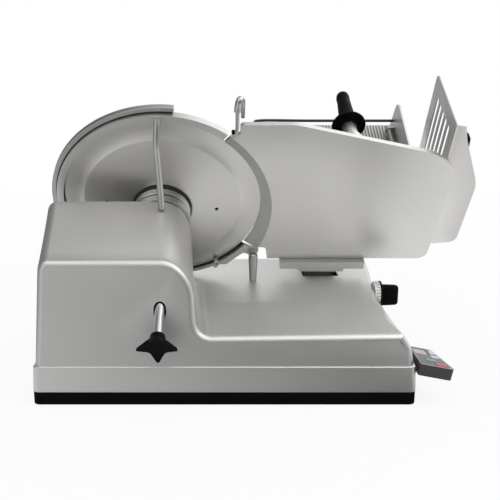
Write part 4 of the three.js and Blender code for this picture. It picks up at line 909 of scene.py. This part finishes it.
hook_path = [(103, 130.5, 6.6), (109, 133, 6.6), (111.2, 139, 6), (112, 150, 5.5), (112, 174, 5),
             (113, 183, 2), (116.5, 186, -4), (119.5, 180, -9), (120, 166, -11), (120, 150, -12)]
cap_path = [(112, 171, 5.2), (112.6, 179, 4), (114.2, 184.5, 0), (116.6, 185.5, -4)]
hook = draft("bent_hook", bent_rod(hook_path, 2.8))
join(hook, bent_rod(cap_path, 5))
placed(hook, slant, polished_steel, "base", ["guard_hook"])
# The screw's head is black for the screw and the shade round the hook's foot: partly painted shadow.
hook_screw = draft("hook_screw", turned([(0, 3), (2.4, 3), (2.4, 8.6, 0.5), (0, 8.6)], (106.4, 137.6), 32))
placed(hook_screw, slant, black_plastic, "base", [])


# Gauge plate: a thick aluminium plate that sets the slice, satin anodised, with a conical hollow beside
# the blade. It is screwed to a bracket whose block slides on a rod inside the base.
GAUGE_FRONT, GAUGE_BACK = 5, -3
BLADE_CLEARANCE = 0.5
HOLLOW_CENTRE = (-16.5, -12.2)
GUIDE_PLACE = (255, -197)
edge_radius = BLADE_RADIUS + BLADE_CLEARANCE
hook_notch = [(95, 117.5), (103.4, 127, 2), (116.5, 132.4, 4), (116.5, 146.5, 3), (121, 148.6, 6),
              (140, 148.8)]
end_curve = [Vector(p) for p in ((381, 103), (410, 96), (433, 76), (432, 50))]
gauge_outline = [
    *arc((0, 0), (edge_radius, edge_radius), -33, 51, 64),
    *filleted(hook_notch, 14, closed=False)[1:],
    *bend((184, 149), (193, 149), (202, 147), 12),
    *(end_curve[0] * (1 - t) ** 3 + 3 * end_curve[1] * t * (1 - t) ** 2
      + 3 * end_curve[2] * t * t * (1 - t) + end_curve[3] * t**3 for t in [i / 14 for i in range(15)]),
    *bend((427, -99), (426, -116.5), (410, -117), 16),
    Vector((165.5, -117)), *bend((162.5, -96), (161.8, -91.5), (157.5, -91.5), 16), Vector((143, -91.5)),
]
hollow_rim = GAUGE_FRONT + 0.5
hollow_profile = [(0, -2), (156.4, -2), (184.4, GAUGE_FRONT), (186.4, hollow_rim), (0, hollow_rim)]
gauge = draft("gauge_plate_sheet", prism(gauge_outline, GAUGE_BACK, GAUGE_FRONT))
cut(gauge, turned(hollow_profile, HOLLOW_CENTRE, 240))
plate_aluminium = anodised("satin_plate_aluminium", "#DCDBD9", 0.42, 0.8, BRUSHED_ALONG)
# The hollow's faces get a darker copy of the plate's aluminium: painted shade on the tilted hollow.
hollow_finish_painted_shade = anodised("turned_hollow_aluminium", "#BEBDBB", 0.42, 0.8)
gauge.data.materials.clear()
for finish in (plate_aluminium, hollow_finish_painted_shade):
    gauge.data.materials.append(finish)
# Faces of the hollow take the darker, painted-shade copy.
for face in gauge.data.polygons:
    face.material_index = 1 if 0.9 < face.normal.z < 0.99 else 0
placed(gauge, slant, plate_aluminium, "gauge", ["gauge_plate"], soften=0.5, smooth=9)

flange = filleted([(187, -137, 3), (325, -137, 3), (325, -92, 3), (187, -92, 3)])
bracket_blocks = [((187, -132.5, -6), (325, -117.6, 14)), ((218.5, -139, -6), (292, -132, 14)),
                  ((229, -209, -6), (282, -130, 0)), ((229, -209, -6), (282, -168, 14)),
                  ((281, -209, 4), (306, -198, 12))]
bracket = draft("gauge_bracket_casting", prism(flange, -9, GAUGE_BACK - GAP))
join(bracket, *(slab(*corners) for corners in bracket_blocks))
cut(bracket, cylinder(6 + GAP, -30, 50, GUIDE_PLACE, 40))
placed(bracket, slant, cast_aluminium, "gauge", ["gauge_bracket"], soften=0.8)


# Thickness dial: a white scale drum with fine division lines and a black bar knob in front of it, on
# the gauge shaft in a seat at the base's right end. Both are glossy mouldings.
DIVISIONS = 24
white_plastic = moulded("glossy_white_plastic", "#E6E6E2", 0.3, 1.2, 0.02)
line_paint = moulded("black_line_paint", "#1A1A1A", 0.4, 1.0, 0.01)
STILL = (0, 0, 0)


def with_copies(piece, shape, finish, count, start=STILL, step=STILL, rows=1, row_step=STILL, turn=STILL):
    """Adds copies of a shape to a piece with a node tree: in a row, in rows, or turned round a ring."""
    copy = draft("copied_shape", shape)
    tree = bpy.data.node_groups.new("set_out_copies", "GeometryNodeTree")
    wanted = {
        "Copy": ("NodeSocketObject", copy),
        "Count": ("NodeSocketInt", count),
        "Rows": ("NodeSocketInt", rows),
        "Start": ("NodeSocketVector", start),
        "Step": ("NodeSocketVector", step),
        "Row Step": ("NodeSocketVector", row_step),
        "Turn": ("NodeSocketVector", turn),
        "Finish": ("NodeSocketMaterial", finish),
    }
    for way in ("INPUT", "OUTPUT"):
        tree.interface.new_socket("Geometry", in_out=way, socket_type="NodeSocketGeometry")
    keys = {label: tree.interface.new_socket(label, in_out="INPUT", socket_type=kind).identifier
            for label, (kind, _) in wanted.items()}
    given = node(tree, "NodeGroupInput", {}).outputs
    row = node(tree, "GeometryNodeMeshLine", {
        "mode": "OFFSET", "Count": given["Count"], "Start Location": given["Start"], "Offset": given["Step"]})
    column = node(tree, "GeometryNodeMeshLine", {
        "mode": "OFFSET", "Count": given["Rows"], "Offset": given["Row Step"]})
    grid = node(tree, "GeometryNodeInstanceOnPoints", {"Points": row, "Instance": column})
    spots = node(tree, "GeometryNodeRealizeInstances", {"Geometry": grid})
    turned_by = node(tree, "ShaderNodeVectorMath", {
        "operation": "MULTIPLY", 0: node(tree, "GeometryNodeInputIndex", {}), 1: given["Turn"]})
    source = node(tree, "GeometryNodeObjectInfo", {"Object": given["Copy"]})
    copies = node(tree, "GeometryNodeInstanceOnPoints", {
        "Points": spots, "Instance": source.outputs["Geometry"], "Rotation": turned_by})
    real = node(tree, "GeometryNodeRealizeInstances", {"Geometry": copies})
    painted = node(tree, "GeometryNodeSetMaterial", {"Geometry": real, "Material": given["Finish"]})
    whole = node(tree, "GeometryNodeJoinGeometry", {"Geometry": painted})
    tree.links.new(given["Geometry"], whole.inputs[0])
    node(tree, "NodeGroupOutput", {"Geometry": whole})
    setting_out = piece.modifiers.new("set_out_copies", "NODES")
    setting_out.node_group = tree
    for label, (_, value) in wanted.items():
        setting_out[keys[label]] = value
    made_plain(piece)
    bpy.data.objects.remove(copy)
    bpy.data.node_groups.remove(tree)


scale_profile = [(5.3, DIAL_SEAT_X + 0.5), (18.7, DIAL_SEAT_X + 0.5, 0.4), (18.7, 247.5, 0.5), (5.3, 247.5)]
dial_scale = draft("dial_scale_drum", turned(scale_profile, steps=96))
dial_scale.data.materials.append(white_plastic)
division = slab((18.5, -0.25, 241), (18.85, 0.25, 247))
with_copies(dial_scale, division, line_paint, DIVISIONS, turn=(0, 0, 2 * math.pi / DIVISIONS))
placed(dial_scale, base @ dial_axis, white_plastic, "dial", ["dial_scale"])

dial_flange = turned([(0, 247.8), (19.6, 247.8, 0.5), (19.6, 250.5, 1), (0, 250.5)], steps=96)
dial_knob = draft("dial_bar_knob", dial_flange)
grip_outline = filleted([(-14, -7, 5), (20, -7, 5), (20, 7, 5), (-14, 7, 5)])
grip_levels = ((1, 249.6), (0.98, 262), (0.95, 273), (0.9, 276), (0.8, 277.4))
grip_rings = [[Vector((p.x * share, p.y * share, z)) for p in grip_outline] for share, z in grip_levels]
join(dial_knob, skinned(grip_rings))
cut(dial_knob, cylinder(5.3, 240, 254, steps=40))
placed(dial_knob, base @ dial_axis, black_plastic, "dial", ["dial_knob"], soften=0.6)


# Keypad console: a charcoal plastic case that slopes down to the right, covered by a dark blue-grey foil
# with a bright edge; a beige display window, two pale keys and a green and a red one stand in pockets.
PANEL_SLOPE = 11
DISPLAY_WINDOW = (4, 44, 22, 64)
KEYS = {
    "key_up": (26, 48, 35, 62), "key_down": (24, 34, 36, 43), "key_start": (13, 18, 27, 27),
    "key_stop": (22, 5, 38, 14)}
console = base @ Matrix.Translation((263.8, 1, 59.5)) @ Matrix.Rotation(math.radians(PANEL_SLOPE), 4, "Y")
console_outline = [Vector((0, 0)), *bend((41, 0), (47, 0), (46, 6), 6),
                   *bend((34, 64), (32, 70), (26, 70), 6), Vector((0, 70))]


def pad(box, margin=0.0, radius=2):
    """The outline of a rounded rectangle (left, near, right, far), with a margin round it."""
    x0, y0, x1, y1 = box
    corners = ((x0 - margin, y0 - margin), (x1 + margin, y0 - margin), (x1 + margin, y1 + margin),
               (x0 - margin, y1 + margin))
    return filleted([(x, y, radius) for x, y in corners], 6)


console_case = draft("console_case", prism(console_outline, -16, 0))
pockets = [DISPLAY_WINDOW, *KEYS.values()]
cut(console_case, *(prism(pad(pocket, GAP), -3.5, 1) for pocket in pockets))
charcoal_plastic = moulded("charcoal_plastic", "#38393B", 0.42, 0.9, 0.04)
placed(console_case, console, charcoal_plastic, "base", ["panel_housing"], soften=0.5)

foil_blue = moulded("blue_grey_foil", "#565662", 0.35, 1.5, 0.02)
foil_edge = moulded("pale_foil_edge", "#B9B9BC", 0.3, 1.5, 0.02)
console_middle = Vector((20, 34))
foil_layers = (("foil_border", 1.0, 0.12, foil_edge), ("keypad_foil", 2.0, 0.22, foil_blue))
for name, inset, height, finish in foil_layers:
    outline = [console_middle + (p - console_middle) * (1 - inset / 24) for p in console_outline]
    foil = draft(name, prism(outline, 0.02, height))
    cut(foil, *(prism(pad(pocket, 0.4), -1, 1) for pocket in pockets))
    placed(foil, console, finish, "base", [])

display_beige = moulded("beige_display", "#B7AB9A", 0.3, 2.0, 0.02)
display = draft("display_window", prism(pad(DISPLAY_WINDOW), -3.2, -0.3))
placed(display, console, display_beige, "base", ["panel_display"], soften=0.2)
pale_key = moulded("pale_key", "#D3CFD6", 0.4, 1.2, 0.02)
key_finishes = {
    "key_up": (pale_key, "grey_key"),
    "key_down": (pale_key, "grey_key"),
    "key_start": (moulded("green_key", "#6B9C7C", 0.4, 1.2, 0.02), "green_key"),
    "key_stop": (moulded("red_key", "#B4504E", 0.4, 1.2, 0.02), "red_key"),
}
for name, (finish, slot) in key_finishes.items():
    button = draft(name + "_button", prism(pad(KEYS[name]), -2.2, 0.9))
    placed(button, console, finish, name, [name], soften=0.4)


# Carriage floor: a ribbed aluminium plate that carries the food past the blade, with a flat fence at
# its right end and a thin dark bar across the far end that keeps food from sliding off.
FLOOR_LEFT, FLOOR_RIGHT, FLOOR_TOP, FLOOR_BOTTOM = 142, 404.7, -55, -62
CARRIAGE_FRONT, CARRIAGE_REAR = -10, -283
RIBS, RIB_HEIGHT = 48, 2.5
rib_pitch = (FLOOR_RIGHT - FLOOR_LEFT) / RIBS
floor_corner = (FLOOR_RIGHT, FLOOR_TOP - RIB_HEIGHT, CARRIAGE_FRONT)
floor_plate = slab((FLOOR_LEFT, FLOOR_BOTTOM, CARRIAGE_REAR), floor_corner)
carriage_floor = draft("ribbed_floor", floor_plate)
# The ribbed floor gets a darker copy of the anodised aluminium: painted shade.
floor_finish_painted_shade = anodised("ribbed_floor_aluminium", "#868583", 0.42, 0.8)
carriage_floor.data.materials.append(floor_finish_painted_shade)
rib_top = arc((0.5 * rib_pitch, -1.2), (0.3 * rib_pitch, 1.2), 180, 0, 8)
rib_outline = [Vector((0.18 * rib_pitch, -2.6)), *rib_top, Vector((0.82 * rib_pitch, -2.6))]
rib = prism(rib_outline, CARRIAGE_REAR + 4, CARRIAGE_FRONT - 4)
with_copies(carriage_floor, rib, floor_finish_painted_shade, RIBS,
            start=(FLOOR_LEFT, FLOOR_TOP, 0), step=(rib_pitch, 0, 0))
placed(carriage_floor, slant, floor_finish_painted_shade, "carriage", ["carriage_floor"])

PUSHER_ROD, PUSHER_ROD_RADIUS = (396.5, -46), 4.5
REAR_BAR_U, REAR_BAR_Z = -35, -265
FENCE_X = FLOOR_RIGHT + GAP
on_edge = Matrix.Rotation(math.pi / 2, 4, "Y")


def tapered(a, radius_a, b, radius_b):
    """The outline of a strap round two circles."""
    ends = Vector(b) - Vector(a)
    angle = math.degrees(math.atan2(ends.y, ends.x))
    lean = math.degrees(math.acos((radius_a - radius_b) / ends.length))
    return (arc(a, (radius_a, radius_a), angle + lean, angle + 360 - lean, 20)
            + arc(b, (radius_b, radius_b), angle - lean, angle + lean, 20))


fence_outline = [Vector((12, FLOOR_BOTTOM)), Vector((283, FLOOR_BOTTOM)), Vector((281, -54)),
                 *bend((267, -6), (262, 8), (243, 7.5), 12), *bend((40, -9), (14, -14), (12, -36), 12)]
fence = draft("carriage_fence_sheet", moved(prism(fence_outline, FENCE_X, FENCE_X + 3), on_edge))
lug_outline = tapered((FENCE_X + 1, PUSHER_ROD[1]), 7.5, PUSHER_ROD, 7)
join(fence, *(prism(lug_outline, z, z + 7) for z in (-27, -256)))
bar_hole_place = Matrix.Translation((0, REAR_BAR_U, REAR_BAR_Z)) @ on_edge
cut(fence, cylinder(PUSHER_ROD_RADIUS + GAP, -280, -10, PUSHER_ROD, 40),
    moved(cylinder(2.9, FENCE_X - 5, FENCE_X + 8, steps=24), bar_hole_place))
placed(fence, slant, plate_aluminium, "carriage", ["carriage_fence"], soften=0.5)

dark_bar = moulded("dark_coated_bar", "#26262A", 0.35, 1.0, 0.02)
bar_plan = [(FENCE_X + 2.5, REAR_BAR_U), (250, REAR_BAR_U), (158.4, REAR_BAR_U), (152.4, REAR_BAR_U - 2),
            (150.7, REAR_BAR_U - 8), (150.7, FLOOR_TOP + GAP)]
rear_bar = draft("rear_bar_wire", bent_rod([(x, u, REAR_BAR_Z) for x, u in bar_plan], 2.5))
placed(rear_bar, slant, dark_bar, "carriage", ["carriage_rear_bar"])


# Hand guard: one bent stainless sheet at the carriage's right end, a slotted wing along the food and a
# plain shield across it. The black handle stands behind the shield on a cast mount.
GUARD_X, GUARD_SHEET, SHIELD_FRONT = 424, 1.5, -15
SLOTS, SLOT_START, SLOT_PITCH, SLOT_HALF = 5, 46, 17.6, 5.2
MOUNT_TOP = FLOOR_BOTTOM - GAP
wing_outline = [Vector((15, FLOOR_BOTTOM)), Vector((147, FLOOR_BOTTOM)),
                *bend((147, 126), (146, 137), (137, 137), 8), Vector((15, 134))]
shield_outline = [Vector((GUARD_X, 134)), Vector((438, 132)), Vector((445, 108)),
                  *bend((474, 38), (480, 22), (479, 10), 8), *bend((476, -86), (475, -97), (464, -99), 8),
                  *bend((440, -102), (GUARD_X, -102), (GUARD_X, -90), 8)]
guard = draft("hand_guard_sheet", moved(prism(wing_outline, GUARD_X, GUARD_X + GUARD_SHEET), on_edge))
join(guard, prism(shield_outline, SHIELD_FRONT - GUARD_SHEET, SHIELD_FRONT))
for i in range(SLOTS):
    n = SLOT_START + i * SLOT_PITCH
    ends = (SLOT_HALF, SLOT_HALF)
    slot_outline = arc((n, 106), ends, 0, 180, 16) + arc((n, -4), ends, 180, 360, 16)
    cut(guard, moved(prism(slot_outline, GUARD_X - 2, GUARD_X + 6), on_edge))
guard_steel = anodised("brushed_guard_steel", "#C4C2C0", 0.3, 0.8, (1, 5, 5))
placed(guard, slant, guard_steel, "carriage", ["hand_guard"], soften=0.3)

handle_mount = draft("handle_mount_block", slab((386, MOUNT_TOP - 10, -98), (474, MOUNT_TOP, -30)))
placed(handle_mount, slant, cast_aluminium, "carriage", ["handle_mount"], soften=1.5)
handle_profile = [(0, MOUNT_TOP + GAP), (11, MOUNT_TOP + GAP, 0.8), (12, -40, 10), (13, 0, 10), (13, 55, 10),
                  (11.5, 76, 6), (7, 84, 4), (0, 86)]
handle_place = Matrix.Translation((458, 0, -64)) @ to_rear
handle = draft("carriage_handle_grip", moved(turned(handle_profile, steps=64), handle_place))
placed(handle, slant, black_plastic, "carriage", ["carriage_handle"])


# Carriage arm and rails: a cast arm carries the floor on two chromed rods behind the base, and the rods
# sit in two plain aluminium supports.
RAIL_Y, RAIL_RADIUS = 398, 7
RAIL_HEIGHTS = {"lower": 68, "upper": 94}
RAIL_LEFT, RAIL_RIGHT = -165, 248
RAIL_FOOT, SUPPORT_TOP, SUPPORT_WIDTH = 52, 110, 16
ARM_X, ARM_WIDTH = 145, 60


def under_floor(n, drop):
    """A point below the floor, at a distance behind the blade: (y, z) on the base."""
    u = FLOOR_BOTTOM - GAP - drop
    sin, cos = math.sin(TILT), math.cos(TILT)
    return Vector((188 - u * sin + n * cos, 247 + u * cos + n * sin))


arm_outline = [
    Vector((RAIL_Y - 16, RAIL_FOOT)), Vector((RAIL_Y + 16, RAIL_FOOT)),
    *bend((RAIL_Y + 16, 108), (RAIL_Y + 14, 220), under_floor(238, 8), 16),
    under_floor(262, 8), under_floor(262, 0), under_floor(140, 0), under_floor(140, 8),
    *bend(under_floor(160, 8), (RAIL_Y - 14, 230), (RAIL_Y - 16, 108), 16),
]
side_on = Matrix(((0, 0, 1, 0), (1, 0, 0, 0), (0, 1, 0, 0), (0, 0, 0, 1)))


def along_rail(shape, z):
    return moved(shape, Matrix.Translation((0, RAIL_Y, z)) @ on_edge)


def cut_rail_bores(piece):
    bore = RAIL_RADIUS + GAP
    cut(piece, *(along_rail(cylinder(bore, -400, 400, steps=48), z) for z in RAIL_HEIGHTS.values()))


arm_casting = draft("carriage_arm_casting", moved(prism(arm_outline, ARM_X, ARM_X + ARM_WIDTH), side_on))
cut_rail_bores(arm_casting)
placed(arm_casting, base, cast_aluminium, "carriage", ["carriage_arm"], soften=1.5)

rail_profile = [(0, RAIL_LEFT), (RAIL_RADIUS, RAIL_LEFT, 0.8), (RAIL_RADIUS, RAIL_RIGHT, 0.8),
                (0, RAIL_RIGHT)]
for place, z in RAIL_HEIGHTS.items():
    rail = draft("guide_rail_" + place, along_rail(turned(rail_profile, steps=64), z))
    placed(rail, base, bright_chrome, "base", ["guide_rod_" + place])
for place, x in (("left", RAIL_LEFT), ("right", RAIL_RIGHT - SUPPORT_WIDTH)):
    support_block = slab((x, BASE_DEPTH + GAP, RAIL_FOOT), (x + SUPPORT_WIDTH, RAIL_Y + 14, SUPPORT_TOP))
    support = draft("rail_support_block_" + place, support_block)
    cut_rail_bores(support)
    placed(support, base, cast_aluminium, "base", ["rail_support_" + place], soften=1.5)


# Food pusher: a spiked steel plate on an aluminium sleeve whose arm slides along a rod over the carriage,
# with a black hand disc and a tapered black grip.
PUSHER_AXIS = (297, 46)
PLATE_BACK, PLATE_FRONT = -64, -60
SPIKE_ROWS, SPIKE_STEP, SPIKE_ROW_STEP = 3, 30, 28
rod_corners = [(0, -260), (PUSHER_ROD_RADIUS, -260, 0.6), (PUSHER_ROD_RADIUS, -16, 0.6), (0, -16)]
pusher_rod = draft("pusher_rod_bar", turned(rod_corners, PUSHER_ROD, 48))
placed(pusher_rod, slant, polished_steel, "carriage", ["pusher_rod"])

plate_box = (PUSHER_AXIS[0] - 48, -49, PUSHER_AXIS[0] + 48, 66)
pusher_face = draft("spiked_pusher_plate", prism(pad(plate_box, radius=10), PLATE_BACK, PLATE_FRONT))
pusher_face.data.materials.append(machine_steel)
spike = turned([(0, -60.5), (3, -60.5), (0.6, -54.6), (0, -54)], steps=24)
with_copies(pusher_face, spike, machine_steel, SPIKE_ROWS, start=(PUSHER_AXIS[0] - SPIKE_STEP, -32, 0),
            step=(SPIKE_STEP, 0, 0), rows=SPIKE_ROWS, row_step=(0, SPIKE_ROW_STEP, 0))
placed(pusher_face, slant, machine_steel, "pusher", ["pusher_plate"])

sleeve_profile = [(0, -133), (12, -133, 0.8), (12, PLATE_BACK - GAP, 0.8), (0, PLATE_BACK - GAP)]
sleeve = draft("pusher_sleeve_casting", turned(sleeve_profile, PUSHER_AXIS, 64))
join(sleeve, prism(tapered(PUSHER_AXIS, 15, PUSHER_ROD, 7.6), -104, -88),
     turned([(0, -112), (7.8, -112, 0.8), (7.8, -80, 0.8), (0, -80)], PUSHER_ROD, 48))
cut(sleeve, cylinder(PUSHER_ROD_RADIUS + GAP, -120, -70, PUSHER_ROD, 48))
placed(sleeve, slant, turned_aluminium, "pusher", ["pusher_sleeve"], soften=0.8)

disc_profile = [(0, -141), (20, -141, 4), (26.5, -139.5, 1.2), (27.5, -137.5, 1.2), (26.5, -135, 1.2),
                (18, -133.3, 3), (0, -133.3)]
disc = draft("pusher_hand_disc", turned(disc_profile, PUSHER_AXIS, 96))
placed(disc, slant, black_plastic, "pusher", ["pusher_disc"])
grip_profile = [(0, -227), (6, -226, 3), (10, -222, 3), (11.3, -215, 6), (11, -202, 20), (12.5, -175, 20),
                (14, -150, 8), (13.5, -141.3, 1), (0, -141.3)]
grip = draft("pusher_grip_moulding", turned(grip_profile, PUSHER_AXIS, 64))
placed(grip, slant, black_plastic, "pusher", ["pusher_grip"])
